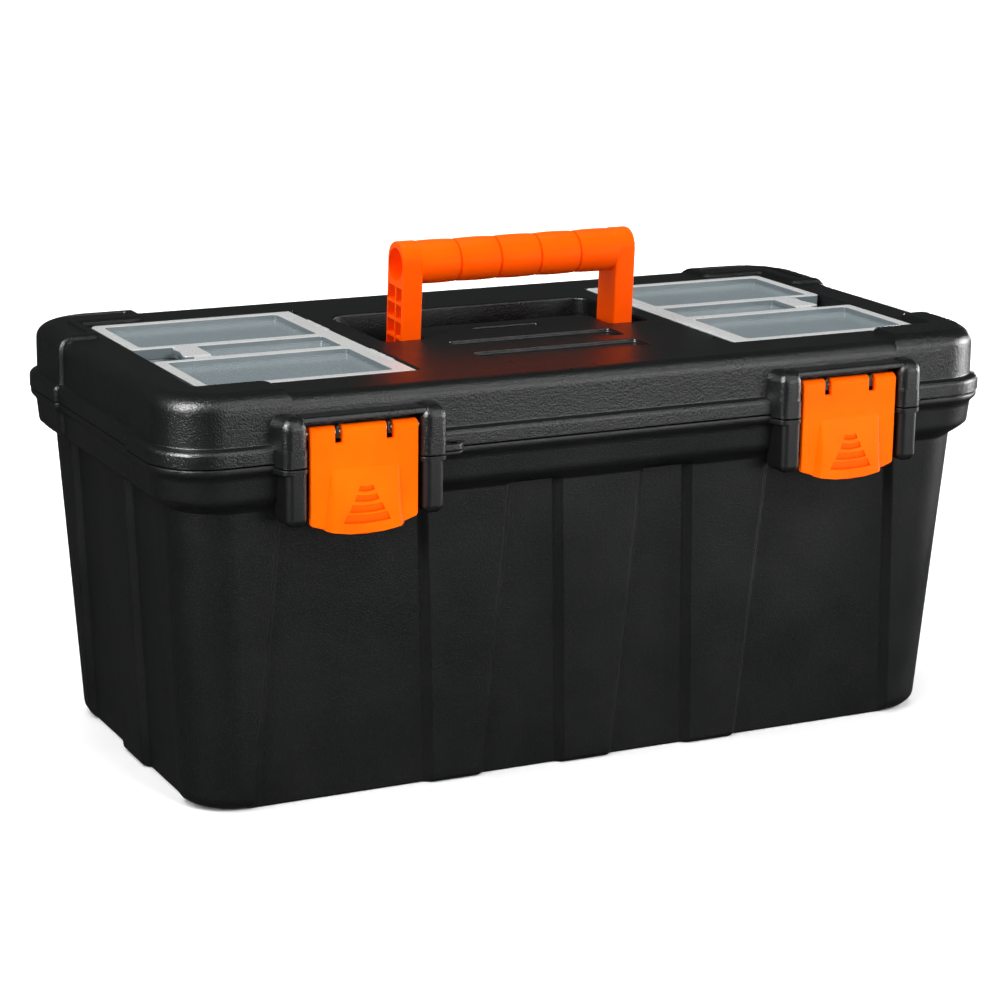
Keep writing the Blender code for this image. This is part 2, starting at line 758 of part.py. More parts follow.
def make_handle():
    """Two hollow-faced arms and a round segmented grip between them, modelled upright."""
    pivot = (0, PIVOT_Y, PIVOT_Z)
    upright = Matrix(((0, 0, 1), (1, 0, 0), (0, 1, 0))).to_4x4()
    bm = bmesh.new()
    add_plate(bm, arm_outline(), -ARM_OUT, -ARM_IN)
    add_plate(bm, arm_outline(), ARM_IN, ARM_OUT)
    bm.transform(upright)
    handle = add_part("handle", bm, ORANGE, pivot)

    bm = bmesh.new()
    segment = 2 * ARM_IN / GRIP_SEGMENTS
    root = 0.003
    for i in range(GRIP_SEGMENTS):
        start = -ARM_IN + i * segment
        low = start - (root if i == 0 else -GROOVE_HALF)
        high = start + segment + (root if i == GRIP_SEGMENTS - 1 else -GROOVE_HALF)
        add_rod(bm, (low, PIVOT_Y, GRIP_Z), (high, PIVOT_Y, GRIP_Z), GRIP_RADIUS, 24)
    reach = ARM_IN + 0.002
    add_rod(bm, (-reach, PIVOT_Y, GRIP_Z), (reach, PIVOT_Y, GRIP_Z), GRIP_RADIUS - GROOVE_DEPTH, 24)
    join(handle, "handle_grip", bm)

    bm = bmesh.new()
    in_x, out_x = ARM_POCKET_X
    for side in (-1, 1):
        for i in range(ARM_POCKETS):
            low_z = ARM_POCKET_LOW_Z + i * RUNG_PITCH
            high_z = low_z + RUNG_PITCH - RUNG
            for low_y, high_y in ARM_POCKETS_Y:
                add_box(bm, (side * in_x, low_y, low_z), (side * out_x, high_y, high_z))
        low = (side * in_x, ARM_POCKETS_Y[0][0], TALL_POCKET_Z[0])
        add_box(bm, low, (side * out_x, ARM_POCKETS_Y[1][1], TALL_POCKET_Z[1]), 0.004)
    cut(handle, "handle_hollows", bm)

    bm = bmesh.new()
    for side in (-1, 1):
        start = (side * (ARM_IN - 0.001), PIVOT_Y, PIVOT_Z)
        end = (side * (ARM_OUT - 0.0015), PIVOT_Y, PIVOT_Z)
        add_rod(bm, start, end, HANDLE_PIN_RADIUS + HOLE_CLEARANCE)
    cut(handle, "handle_bores", bm)


def make_handle_pins():
    for side, word in ((-1, "left"), (1, "right")):
        bm = bmesh.new()
        start = (side * HANDLE_PIN_IN, PIVOT_Y, PIVOT_Z)
        end = (side * (ARM_OUT - 0.0020), PIVOT_Y, PIVOT_Z)
        add_rod(bm, start, end, HANDLE_PIN_RADIUS)
        add_part("handle_pin_" + word, bm, STEEL, (side * 0.070, PIVOT_Y, PIVOT_Z))


# Latches

def latch_body(x):
    bm = bmesh.new()
    half = LATCH_WIDTH / 2
    back = LATCH_FACE_Y + LATCH_PLATE
    add_box(bm, (x - half, LATCH_FACE_Y, LATCH_BOTTOM_Z + 0.005), (x + half, back, LATCH_AXIS_Z))
    return bm


def latch_additions(x):
    bm = bmesh.new()
    half = LATCH_WIDTH / 2
    start = (x - half, LATCH_AXIS_Y, LATCH_AXIS_Z)
    add_rod(bm, start, (x + half, LATCH_AXIS_Y, LATCH_AXIS_Z), BARREL_RADIUS, 20)

    def corner(right, back, up):
        reach, z = PANEL_TOP if up else PANEL_FOOT
        front = LATCH_FACE_Y - 0.0006 if up else GUARD_Y
        return (x + (reach if right else -reach), LATCH_FACE_Y + 0.0015 if back else front, z)

    add_wedge(bm, corner)
    return bm


def latch_cuts(x):
    bm = bmesh.new()
    for offset in (-LATCH_SLOT_X, LATCH_SLOT_X):
        low = (x + offset - LATCH_SLOT / 2, LATCH_FACE_Y - 0.005, LATCH_SLOT_Z)
        add_box(bm, low, (x + offset + LATCH_SLOT / 2, -0.138, 0.240))
    return bm


def make_latches():
    for side, word in ((-1, "left"), (1, "right")):
        x = side * LATCH_X
        axis = (x, LATCH_AXIS_Y, LATCH_AXIS_Z)
        latch = add_part("latch_" + word, latch_body(x), ORANGE, axis)
        join(latch, "latch_barrel_" + word, latch_additions(x))
        cut(latch, "latch_slots_" + word, latch_cuts(x))
        bm = bmesh.new()
        start = (x - 0.040, LATCH_AXIS_Y, LATCH_AXIS_Z)
        end = (x + 0.040, LATCH_AXIS_Y, LATCH_AXIS_Z)
        add_rod(bm, start, end, LATCH_PIN_RADIUS + HOLE_CLEARANCE, 12)
        cut(latch, "latch_bore_" + word, bm)
        bm = bmesh.new()
        start = (x - LATCH_PIN_HALF, LATCH_AXIS_Y, LATCH_AXIS_Z)
        end = (x + LATCH_PIN_HALF, LATCH_AXIS_Y, LATCH_AXIS_Z)
        add_rod(bm, start, end, LATCH_PIN_RADIUS, 12)
        add_part("latch_pin_" + word, bm, STEEL, axis)


# Organizers

def make_bin(side, word):
    bm = bmesh.new()
    low = ORG_IN + 0.0005
    high = ORG_OUT - 0.0005
    edge = ORG_Y - 0.0005
    inner = NOTCH_IN - 0.0020
    notch = NOTCH_Y + 0.0005
    corners = [
        (low, -edge, 0.004), (high, -edge, 0.004), (high, -notch, 0.001), (inner, -notch, 0.001),
        (inner, notch, 0.001), (high, notch, 0.001), (high, edge, 0.004), (low, edge, 0.004),
    ]
    outline = rounded([(side * x, y, radius) for x, y, radius in corners])
    add_plate(bm, outline, WELL_FLOOR_Z + GAP, BIN_TOP_Z)
    made = add_part("organizer_bin_" + word, bm, MILKY)
    floor = WELL_FLOOR_Z + GAP + BIN_FLOOR
    bm = bmesh.new()
    for sy in (-1, 1):
        start = (side * (low + BIN_WALL), sy * (notch + BIN_WALL), floor)
        end = (side * (high - BIN_WALL), sy * (edge - BIN_WALL), BIN_TOP_Z + 2 * PAST)
        add_box(bm, start, end, 0.002, 1)
    start = (side * (low + BIN_WALL), -notch, floor)
    add_box(bm, start, (side * (inner - BIN_WALL), notch, BIN_TOP_Z + 2 * PAST), 0.002, 1)
    cut(made, "bin_bays_" + word, bm)


def make_cover(side, word):
    """The clear cover: a round nose on its hinge axis, a broad rim, three sunk panes, and a snap tab."""
    axis = (side * (ORG_IN + COVER_NOSE), 0, LID_TOP_Z - COVER_NOSE)
    bm = bmesh.new()
    corners = [
        (ORG_IN + COVER_NOSE, -ORG_Y, 0), (ORG_OUT, -ORG_Y, ORG_RADIUS), (ORG_OUT, -NOTCH_Y, 0.002),
        (NOTCH_IN, -NOTCH_Y, 0.002), (NOTCH_IN, NOTCH_Y, 0.002), (ORG_OUT, NOTCH_Y, 0.002),
        (ORG_OUT, ORG_Y, ORG_RADIUS), (ORG_IN + COVER_NOSE, ORG_Y, 0),
    ]
    add_plate(bm, rounded([(side * x, y, radius) for x, y, radius in corners]), COVER_UNDER_Z, LID_TOP_Z)
    cover = add_part("organizer_lid_" + word, bm, CLEAR, axis)

    bm = bmesh.new()
    add_rod(bm, (axis[0], -ORG_Y + 0.0001, axis[2]), (axis[0], ORG_Y - 0.0001, axis[2]), COVER_NOSE, 20)
    end = (side * (NOTCH_IN - 0.0002), TAB_HALF, COVER_UNDER_Z + 0.001)
    add_box(bm, (side * TAB_X, -TAB_HALF, TAB_LOW_Z), end)
    join(cover, "cover_nose_" + word, bm)

    bm = bmesh.new()
    in_x, out_x = PANE_X
    top = LID_TOP_Z + 2 * PAST
    for sy in (-1, 1):
        start = (side * in_x, sy * PANE_Y[0], PANE_Z)
        add_box(bm, start, (side * out_x, sy * PANE_Y[1], top), 0.002, 1)
    start = (side * in_x, -MIDDLE_PANE_Y, PANE_Z)
    add_box(bm, start, (side * MIDDLE_PANE_X, MIDDLE_PANE_Y, top), 0.002, 1)
    cut(cover, "cover_panes_" + word, bm)


clear_scene()
PARTS = new_collection("carpenter_toolbox")
CUTTERS = new_collection("cutters")
make_tub()
make_tray()
make_hinge_pins()
make_lid()
make_handle()
make_handle_pins()
make_latches()
for side_sign, side_word in ((-1, "left"), (1, "right")):
    make_bin(side_sign, side_word)
    make_cover(side_sign, side_word)
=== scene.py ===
"""Looks of the carpenter's toolbox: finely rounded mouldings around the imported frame, and their plastics."""

import json
import math

import bmesh
import bpy
from mathutils import Matrix, Vector


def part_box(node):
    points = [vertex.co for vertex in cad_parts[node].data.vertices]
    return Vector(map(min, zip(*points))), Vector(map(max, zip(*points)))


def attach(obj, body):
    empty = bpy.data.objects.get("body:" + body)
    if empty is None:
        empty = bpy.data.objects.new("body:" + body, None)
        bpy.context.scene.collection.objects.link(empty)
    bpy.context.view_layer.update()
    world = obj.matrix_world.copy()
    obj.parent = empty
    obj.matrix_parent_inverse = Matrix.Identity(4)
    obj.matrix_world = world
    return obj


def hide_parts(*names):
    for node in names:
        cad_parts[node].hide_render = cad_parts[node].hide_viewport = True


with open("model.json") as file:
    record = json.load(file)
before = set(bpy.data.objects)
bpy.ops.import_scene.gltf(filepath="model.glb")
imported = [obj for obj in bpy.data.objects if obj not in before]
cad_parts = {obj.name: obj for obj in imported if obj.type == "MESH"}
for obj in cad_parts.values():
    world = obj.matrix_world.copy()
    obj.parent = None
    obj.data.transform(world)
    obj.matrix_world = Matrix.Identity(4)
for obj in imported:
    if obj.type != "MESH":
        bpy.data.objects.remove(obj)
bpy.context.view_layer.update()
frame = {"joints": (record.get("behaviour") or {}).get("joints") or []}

MM = 0.001
SIDES = (-1, 1)
LID_LOW, LID_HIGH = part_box("lid")
HANDLE_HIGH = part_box("handle")[1]
JOINTS = {joint["name"]: joint for joint in frame["joints"]}
SHARP_DEGREES = 38

# Rim and sections, which are the rim's outline moved in by an inset
RIM_X = LID_HIGH.x
RIM_Y = 141.5 * MM
RIM_RADIUS = 36 * MM
RADIUS_LOSS = 0.25
CORNER_STEPS = 18
SPLIT_Z = 215.6 * MM
GUARD_SPLIT_Z = 213.9 * MM
SEAM = 0.3 * MM

# Corner caps on the end walls
CAP_STAND = 2.1 * MM
CAP_SINK = 0.6 * MM
CAP_BACK_Y = 61.5 * MM
CAP_FRONT_Y = -71 * MM
CAP_STEPS = (-1, -0.6, -0.2, 0.2, 0.6, 1)
CAP_SLOPE = 1.9 * MM

# Tub wall: three ribs on each long side and one on each end, with a column at every corner
WALL_TOP_Z = 190 * MM
WALL_INSET = 11.5 * MM
TAPER = 12 * MM
PANEL_DEPTH = 4.5 * MM
PANEL_TOP_Z = 186.4 * MM
FLANK_WIDTH = 6.1 * MM
FLANK_STEPS = 8
RIB_PITCH = 89.5 * MM
RIB_AT_BASE = 17.75 * MM
RIB_AT_COLLAR = 29.0 * MM
CORNER_FOOT = 9 * MM
COLUMN_FOOT = 8 * MM
RIB_FOOT = 3.6 * MM
PANEL_FOOT = 1.6 * MM
FOOT_STEPS = 6
INNER_CORNER_INSET = 30 * MM

# Rear hinges
HINGE_AXIS = Vector(JOINTS["lid_hinge"]["pos_m"])
HINGE_X = 165 * MM
HINGE_HALF = 26 * MM
KNUCKLE_HALF = 12 * MM
KNUCKLE_RADIUS = 5 * MM
BRACKET_ROOT_Y = 138.5 * MM
OUTER_SPANS = ((-HINGE_HALF, -KNUCKLE_HALF - SEAM), (KNUCKLE_HALF + SEAM, HINGE_HALF))
MIDDLE_SPANS = ((-KNUCKLE_HALF + SEAM, KNUCKLE_HALF - SEAM),)

# Lid
DECK_Z = 254 * MM
UNDER_DECK_Z = 252.3 * MM
PAD_Z = LID_HIGH.z
WELL_Z = 222 * MM
WELL_FLOOR = 2 * MM
LID_INSET = 4 * MM
ROOF_ROUND = 8.5 * MM
ROOF_STEPS = 8

# Handle
PIVOT = Vector(JOINTS["handle_fold"]["pos_m"])
HANDLE_LEAN_DEGREES = 3
GRIP_RADIUS = 13.75 * MM
GRIP_Z = HANDLE_HIGH.z - GRIP_RADIUS
GRIP_LENGTHS = 5
GRIP_SWELL = 0.6 * MM
GROOVE_DEPTH = 1.35 * MM
GROOVE_WIDTH = 0.52 * MM
ARM_IN = 68 * MM
ARM_OUT = HANDLE_HIGH.x
ARM_HALF = 12.3 * MM
POCKET_LOW_Z = 244.4 * MM
POCKET_PITCH = 10.9 * MM
POCKET_HEIGHT = 9.5 * MM
HANDLE_BORE = 3.15 * MM
RECESS_X = 93 * MM
PLATFORM_X = 65.5 * MM
PLATFORM_BACK_Y = 18 * MM
RECESS_FRONT_Y = -16.5 * MM
RECESS_BACK_Y = 75.5 * MM

# Latches and their guard posts
LATCH_HALF = 33.75 * MM
LATCH_X = -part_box("latch_left")[0].x - LATCH_HALF
LATCH_AXIS = Vector(JOINTS["latch_right_swing"]["pos_m"])
LATCH_BORE = 1.65 * MM
LATCH_LOW_Z = 177.5 * MM
FACE_Y = -148.5 * MM
NOTCH_OFFSET = 16 * MM
LATCH_PANEL_TOP_Z = 211.5 * MM
LATCH_PANEL_LOW_Z = 172.5 * MM
LATCH_PANEL_LEVELS = 28
LATCH_PANEL_SWELL = 3.5 * MM
LATCH_PANEL_REACH = 28 * MM
LATCH_PANEL_CURVE = 3.2 * MM
GUARD_Y = LID_LOW.y
GUARD_OFFSET = 42.75 * MM
GUARD_HALF = 7.25 * MM
GUARD_DEPTH = 15 * MM
GUARDS = [(side, offset) for side in SIDES for offset in (-GUARD_OFFSET, GUARD_OFFSET)]

# Padlock eye beside the left latch
EYE_X = -108 * MM
EYE_Y = -146.2 * MM
EYE_HOLE = 3.1 * MM

# Organizers
ORG_IN = 107.5 * MM
ORG_OUT = 245.5 * MM
ORG_Y = 100 * MM
NOTCH_IN = 218 * MM
NOTCH_Y = 19 * MM
COVER_HINGE_X = JOINTS["organizer_lid_right_hinge"]["pos_m"][0]
COVER_HINGE_Z = JOINTS["organizer_lid_right_hinge"]["pos_m"][2]
PANE_IN = 121.5 * MM
PANE_OUT = 238.5 * MM
MIDDLE_PANE_OUT = 206.5 * MM
PANE_NEAR_Y = 24 * MM
PANE_FAR_Y = 93.5 * MM
MIDDLE_PANE_Y = 16.5 * MM
PANE_Z = 250.3 * MM
BUMP_HALF = 4 * MM
BIN_TOP_Z = 246.7 * MM
BIN_WALL = 1.5 * MM

# Studio, in metres
FLOOR_HALF = 60.0
FLOOR_Z = -0.0002
BACKDROP_RADIUS = 22.0
BACKDROP_HEIGHT = 20.0
WORLD_STRENGTH = 0.045

# Camera
LENS = 103.893
CAMERA_PLACE = Vector((-0.8066, -1.6208, 0.6071))
CAMERA_AZIMUTH_DEGREES = -26.344
CAMERA_ELEVATION_DEGREES = 14.487
CAMERA_ROLL_DEGREES = 0.765


# ---- mesh helpers

def new_object(name, bm):
    bmesh.ops.recalc_face_normals(bm, faces=bm.faces)
    mesh = bpy.data.meshes.new(name)
    bm.to_mesh(mesh)
    bm.free()
    obj = bpy.data.objects.new(name, mesh)
    bpy.context.scene.collection.objects.link(obj)
    return obj


def combine(obj, tool, operation):
    """Applies one Boolean between closed solids and removes the tool."""
    modifier = obj.modifiers.new("combine", "BOOLEAN")
    modifier.operation = operation
    modifier.solver = "MANIFOLD"
    modifier.object = tool
    graph = bpy.context.evaluated_depsgraph_get()
    mesh = bpy.data.meshes.new_from_object(obj.evaluated_get(graph))
    obj.modifiers.clear()
    obj.data = mesh
    bpy.data.objects.remove(tool)


def join(obj, bm):
    combine(obj, new_object("tool", bm), "UNION")


def cut(obj, bm):
    combine(obj, new_object("tool", bm), "DIFFERENCE")


def add_rings(bm, rings):
    """A closed solid through rings of equal length."""
    made = [[bm.verts.new(point) for point in ring] for ring in rings]
    for low, high in zip(made, made[1:]):
        for i in range(len(low)):
            j = (i + 1) % len(low)
            bm.faces.new((low[i], low[j], high[j], high[i]))
    bm.faces.new(reversed(made[0]))
    bm.faces.new(made[-1])


def lofted(rings):
    bm = bmesh.new()
    add_rings(bm, rings)
    return bm


def mm(*rows):
    """Rows of numbers in millimetres, turned into metres."""
    return [tuple(value * MM for value in row) for row in rows]


def smooth(share):
    share = max(0.0, min(1.0, share))
    return share * share * (3 - 2 * share)


def cap_stand(y):
    """How far an end wall stands out: the corner caps stand proud of the wall between them."""
    past = max(y - CAP_BACK_Y, CAP_FRONT_Y - y)
    return smooth((past / CAP_SLOPE + 1) / 2) * (CAP_STAND + CAP_SINK) - CAP_SINK


def cap_places():
    """Places along an end wall, from the front, where its slopes up to the corner caps need points."""
    return [middle + share * CAP_SLOPE for middle in (CAP_FRONT_Y, CAP_BACK_Y) for share in CAP_STEPS]


def section(inset, z, capped=False):
    """The rim's outline moved in by the inset, with or without the corner caps."""
    radius = RIM_RADIUS - RADIUS_LOSS * inset
    cx = RIM_X - inset - radius + (CAP_STAND if capped else 0)
    cy = RIM_Y - inset - radius
    points = []
    for quarter, (sx, sy) in enumerate(((1, 1), (-1, 1), (-1, -1), (1, -1))):
        for step in range(CORNER_STEPS + 1):
            angle = math.radians(90 * (quarter + step / CORNER_STEPS))
            points.append((sx * cx + radius * math.cos(angle), sy * cy + radius * math.sin(angle), z))
        if capped and quarter in (1, 3):
            for y in sorted(cap_places(), reverse=quarter == 1):
                points.append((sx * (RIM_X - inset + cap_stand(y)), y, z))
    return points


def outline(corners, offset, steps):
    """The outline through (x, y, radius) corners, moved out by the offset, with an arc at each corner."""
    area = sum(a[0] * b[1] - b[0] * a[1] for a, b in zip(corners, corners[1:] + corners[:1]))
    if area < 0:
        corners = corners[::-1]
    points = []
    for i, (x, y, radius) in enumerate(corners):
        here = Vector((x, y))
        before = (here - Vector(corners[i - 1][:2])).normalized()
        after = (Vector(corners[(i + 1) % len(corners)][:2]) - here).normalized()
        out_before = Vector((before.y, -before.x))
        out_after = Vector((after.y, -after.x))
        side = 1 if before.x * after.y - before.y * after.x > 0 else -1
        corner = here + (out_before + out_after) * (offset / (1 + out_before.dot(out_after)))
        radius = max(radius + side * offset, 0.02 * MM)
        turn = math.acos(max(-1.0, min(1.0, before.dot(after))))
        start = corner - before * radius * math.tan(turn / 2)
        centre = start - out_before * side * radius
        for step in range(steps + 1):
            angle = side * turn * step / steps
            points.append(centre + Matrix.Rotation(angle, 2) @ (start - centre))
    return points


def add_stack(bm, corners, profile, place=Matrix(), steps=6):
    """A solid whose level sections are one outline, moved out by each (offset, height) of the profile."""
    rings = []
    for offset, height in profile:
        rings.append([place @ Vector((x, y, height)) for x, y in outline(corners, offset, steps)])
    add_rings(bm, rings)


def stacks(outlines, profile, place=Matrix(), steps=6):
    """The same profile on each of several outlines that stand apart."""
    bm = bmesh.new()
    for corners in outlines:
        add_stack(bm, corners, profile, place, steps)
    return bm


def stack(corners, profile, place=Matrix(), steps=6):
    return stacks([corners], profile, place, steps)


def rounded_edges(low, high, low_radius, high_radius, steps=4):
    """Profile of a plate from low to high with round edges."""
    profile = []
    for step in range(steps + 1 if low_radius else 1):
        angle = math.pi / 2 * step / steps if low_radius else 0
        profile.append((low_radius * (math.sin(angle) - 1), low + low_radius * (1 - math.cos(angle))))
    for step in range(steps + 1 if high_radius else 1):
        angle = math.pi / 2 * step / steps if high_radius else 0
        profile.append((high_radius * (math.cos(angle) - 1), high + high_radius * (math.sin(angle) - 1)))
    return profile


def sunk(floor, top, floor_radius, lip, steps=4):
    """Profile of a cutter that leaves a pocket with a filleted floor and a round lip at the surface."""
    above = 0.01 * MM
    headroom = 20 * MM
    profile = []
    for step in range(steps + 1):
        angle = math.pi / 2 * step / steps
        profile.append((floor_radius * (math.sin(angle) - 1), floor + floor_radius * (1 - math.cos(angle))))
    for step in range(steps + 1):
        angle = math.pi / 2 * step / steps
        profile.append((lip * (1 - math.cos(angle)), top + lip * (math.sin(angle) - 1) + above))
    profile.append((lip, top + headroom))
    return profile


def box_corners(x0, x1, y0, y1, radius):
    return [(x0, y0, radius), (x1, y0, radius), (x1, y1, radius), (x0, y1, radius)]


def span(side, inner, outer):
    """Two places on one side of the middle, in rising order."""
    return sorted((side * inner, side * outer))


# Places a stack so that its outline lies in the YZ plane and its height runs along X
ALONG_X = Matrix(((0, 0, 1, 0), (1, 0, 0, 0), (0, 1, 0, 0), (0, 0, 0, 1)))
# Places a stack so that its outline lies in the XZ plane and its height runs towards -Y
FACING_FRONT = Matrix(((1, 0, 0, 0), (0, 0, -1, 0), (0, 1, 0, 0), (0, 0, 0, 1)))


def add_turned(bm, start, end, profile, sides=40):
    """A round solid from start to end; profile lists (share of the length, radius)."""
    start, end = Vector(start), Vector(end)
    axis = end - start
    turn = Vector((0, 0, 1)).rotation_difference(axis).to_matrix()
    rings = []
    for share, radius in profile:
        centre = start + axis * share
        ring = []
        for k in range(sides):
            angle = 2 * math.pi * k / sides
            ring.append(centre + turn @ Vector((radius * math.cos(angle), radius * math.sin(angle), 0)))
        rings.append(ring)
    add_rings(bm, rings)


def add_rod(bm, start, end, radius, sides=32, ease=0.0):
    length = (Vector(end) - Vector(start)).length
    profile = [(0, radius), (1, radius)]
    if ease:
        edge = ease / length
        profile = [(0, radius - ease), (edge, radius), (1 - edge, radius), (1, radius - ease)]
    add_turned(bm, start, end, profile, sides)


def add_rod_x(bm, x0, x1, axis, radius, sides=32, ease=0.0):
    """A rod along X, from x0 to x1, on the line through the axis's y and z."""
    add_rod(bm, (x0, axis.y, axis.z), (x1, axis.y, axis.z), radius, sides, ease)


def rods_x(*rods):
    bm = bmesh.new()
    for rod in rods:
        add_rod_x(bm, *rod)
    return bm


def finish_piece(obj, body, cad_node, slot, *materials):
    """Shades a finished moulding and puts it on its body in place of its CAD node."""
    obj.data.name = obj.name
    obj.data.materials.clear()
    for made in materials:
        obj.data.materials.append(made)
    obj.data.shade_smooth()
    obj.data.set_sharp_from_angle(angle=math.radians(SHARP_DEGREES))
    weighted = obj.modifiers.new("weighted", "WEIGHTED_NORMAL")
    weighted.keep_sharp = True
    weighted.weight = 80
    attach(obj, body)
    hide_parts(cad_node)


# ---- materials

def node(tree, kind, **settings):
    made = tree.nodes.new(kind)
    for key, value in settings.items():
        setattr(made, key, value)
    return made


def coordinates(tree):
    found = tree.nodes.get("where")
    if found is None:
        found = node(tree, "ShaderNodeTexCoord", name="where")
    return found.outputs["Object"]


def noise(tree, scale, detail=2.0, roughness=0.5):
    made = node(tree, "ShaderNodeTexNoise")
    made.inputs["Scale"].default_value = scale
    made.inputs["Detail"].default_value = detail
    made.inputs["Roughness"].default_value = roughness
    tree.links.new(coordinates(tree), made.inputs["Vector"])
    return made.outputs["Fac"]


def ramp(tree, value, low, high, out_low=0.0, out_high=1.0):
    made = node(tree, "ShaderNodeMapRange", clamp=True)
    made.inputs["From Min"].default_value = low
    made.inputs["From Max"].default_value = high
    made.inputs["To Min"].default_value = out_low
    made.inputs["To Max"].default_value = out_high
    tree.links.new(value, made.inputs["Value"])
    return made.outputs["Result"]


def mix_colour(tree, share, first, second):
    made = node(tree, "ShaderNodeMix", data_type="RGBA")
    made.inputs["A"].default_value = (*first, 1.0)
    made.inputs["B"].default_value = (*second, 1.0)
    tree.links.new(share, made.inputs["Factor"])
    return made.outputs["Result"]


def shader_of(name):
    made = bpy.data.materials.new(name)
    made.use_nodes = True
    tree = made.node_tree
    return made, tree, tree.nodes["Principled BSDF"]


def bump(tree, height, distance, strength, under=None):
    made = node(tree, "ShaderNodeBump")
    made.inputs["Distance"].default_value = distance
    made.inputs["Strength"].default_value = strength
    tree.links.new(height, made.inputs["Height"])
    if under is not None:
        tree.links.new(under, made.inputs["Normal"])
    return made.outputs["Normal"]


POLYMER_IOR = 1.49


def grained_black(name, colour, glints, grain, size, roughness, gloss):
    """Black polypropylene off a spark-eroded mould: pitted and slowly uneven, with painted glints, grain tops
    made lighter in the base colour to stand for sparkle.
    """
    made, tree, shader = shader_of(name)
    fine = noise(tree, 1000.0 / size, 2.0, 0.6)
    coarse = noise(tree, 420.0 / size, 2.0, 0.5)
    slow = noise(tree, 22.0, 3.0, 0.5)
    # Painted highlight: where the fine noise is high, the base colour is lifted to the glints colour to stand
    # for the glitter of lit grain.
    painted_glints = mix_colour(tree, ramp(tree, fine, 0.56, 0.74), colour, glints)
    worn = ramp(tree, slow, 0.30, 0.70, roughness - 0.04, roughness + 0.05)
    pits = bump(tree, coarse, 0.00022 * size, grain * 0.5)
    tree.links.new(painted_glints, shader.inputs["Base Color"])
    tree.links.new(worn, shader.inputs["Roughness"])
    tree.links.new(bump(tree, fine, 0.00030 * size, grain, pits), shader.inputs["Normal"])
    shader.inputs["Specular IOR Level"].default_value = gloss
    shader.inputs["IOR"].default_value = POLYMER_IOR
    return made


def satin_orange(name, low, high, glow=0.10):
    """Orange polypropylene with a satin skin, slow drifts of colour and a little light inside it."""
    made, tree, shader = shader_of(name)
    slow = noise(tree, 30.0, 2.0, 0.5)
    fine = noise(tree, 1100.0, 2.0, 0.55)
    tree.links.new(mix_colour(tree, ramp(tree, slow, 0.30, 0.70), low, high), shader.inputs["Base Color"])
    tree.links.new(ramp(tree, fine, 0.30, 0.70, 0.34, 0.44), shader.inputs["Roughness"])
    tree.links.new(bump(tree, fine, 0.00008, 0.5), shader.inputs["Normal"])
    shader.inputs["IOR"].default_value = POLYMER_IOR
    shader.inputs["Specular IOR Level"].default_value = 0.14
    shader.inputs["Specular Tint"].default_value = (1.0, 0.40, 0.05, 1.0)
    shader.inputs["Subsurface Weight"].default_value = glow
    shader.inputs["Subsurface Radius"].default_value = (0.004, 0.0015, 0.0005)
    shader.inputs["Subsurface Scale"].default_value = 1.0
    return made


def milky(name, colour, alpha, roughness):
    """Natural polypropylene: cloudy, with slow drifts of a slightly darker tone."""
    made, tree, shader = shader_of(name)
    slow = noise(tree, 18.0, 3.0, 0.55)
    fine = noise(tree, 900.0, 2.0, 0.5)
    darker = tuple(0.93 * c for c in colour)
    clouds = mix_colour(tree, ramp(tree, slow, 0.3, 0.7), darker, colour)
    tree.links.new(clouds, shader.inputs["Base Color"])
    tree.links.new(ramp(tree, fine, 0.3, 0.7, roughness - 0.04, roughness + 0.04), shader.inputs["Roughness"])
    tree.links.new(bump(tree, fine, 0.00003, 0.2), shader.inputs["Normal"])
    shader.inputs["IOR"].default_value = POLYMER_IOR
    shader.inputs["Alpha"].default_value = alpha
    return made


def drawn_steel(name):
    """Steel wire with fine uneven polish."""
    made, tree, shader = shader_of(name)
    streaks = noise(tree, 700.0, 3.0, 0.6)
    share = ramp(tree, streaks, 0.3, 0.7)
    colour = mix_colour(tree, share, (0.42, 0.42, 0.43), (0.60, 0.60, 0.61))
    tree.links.new(colour, shader.inputs["Base Color"])
    tree.links.new(ramp(tree, streaks, 0.3, 0.7, 0.22, 0.38), shader.inputs["Roughness"])
    shader.inputs["Metallic"].default_value = 1.0
    return made


TUB_BLACK = grained_black(
    "tub_black", (0.0038, 0.0042, 0.0042), (0.0095, 0.0105, 0.0105),
    grain=0.6, size=0.9, roughness=0.38, gloss=0.34)
LID_BLACK = grained_black(
    "lid_black", (0.0034, 0.0039, 0.0039), (0.012, 0.0135, 0.0135),
    grain=1.0, size=1.0, roughness=0.30, gloss=0.46)
TRAY_BLACK = grained_black(
    "tray_black", (0.009, 0.010, 0.010), (0.015, 0.016, 0.016),
    grain=0.35, size=0.8, roughness=0.48, gloss=0.25)
ORANGE = satin_orange("orange", (1.0, 0.098, 0.0002), (1.0, 0.122, 0.0004))
# A darker, redder copy of the orange for the grip strips' floors: painted shade in the recesses.
ORANGE_STRIP_SHADE = satin_orange("orange_strip_shade", (0.94, 0.078, 0.0002), (0.96, 0.090, 0.0003))
# The handle's orange is a darker, redder copy of the latches' orange: painted shade for the smaller share of
# light its front takes.
ORANGE_HANDLE_SHADE = satin_orange("orange_handle_shade", (1.0, 0.076, 0.0002), (1.0, 0.094, 0.0003), 0.04)
COVER_RIM = milky("cover_rim", (0.42, 0.43, 0.425), 0.95, 0.30)
COVER_PANE = milky("cover_pane", (0.17, 0.205, 0.218), 0.90, 0.20)
BIN_MILKY = milky("bin_milky", (0.30, 0.35, 0.37), 0.95, 0.34)
STEEL = drawn_steel("steel")


# ---- tub

def wall_inset(z):
    return WALL_INSET + TAPER * (1 - z / WALL_TOP_Z)


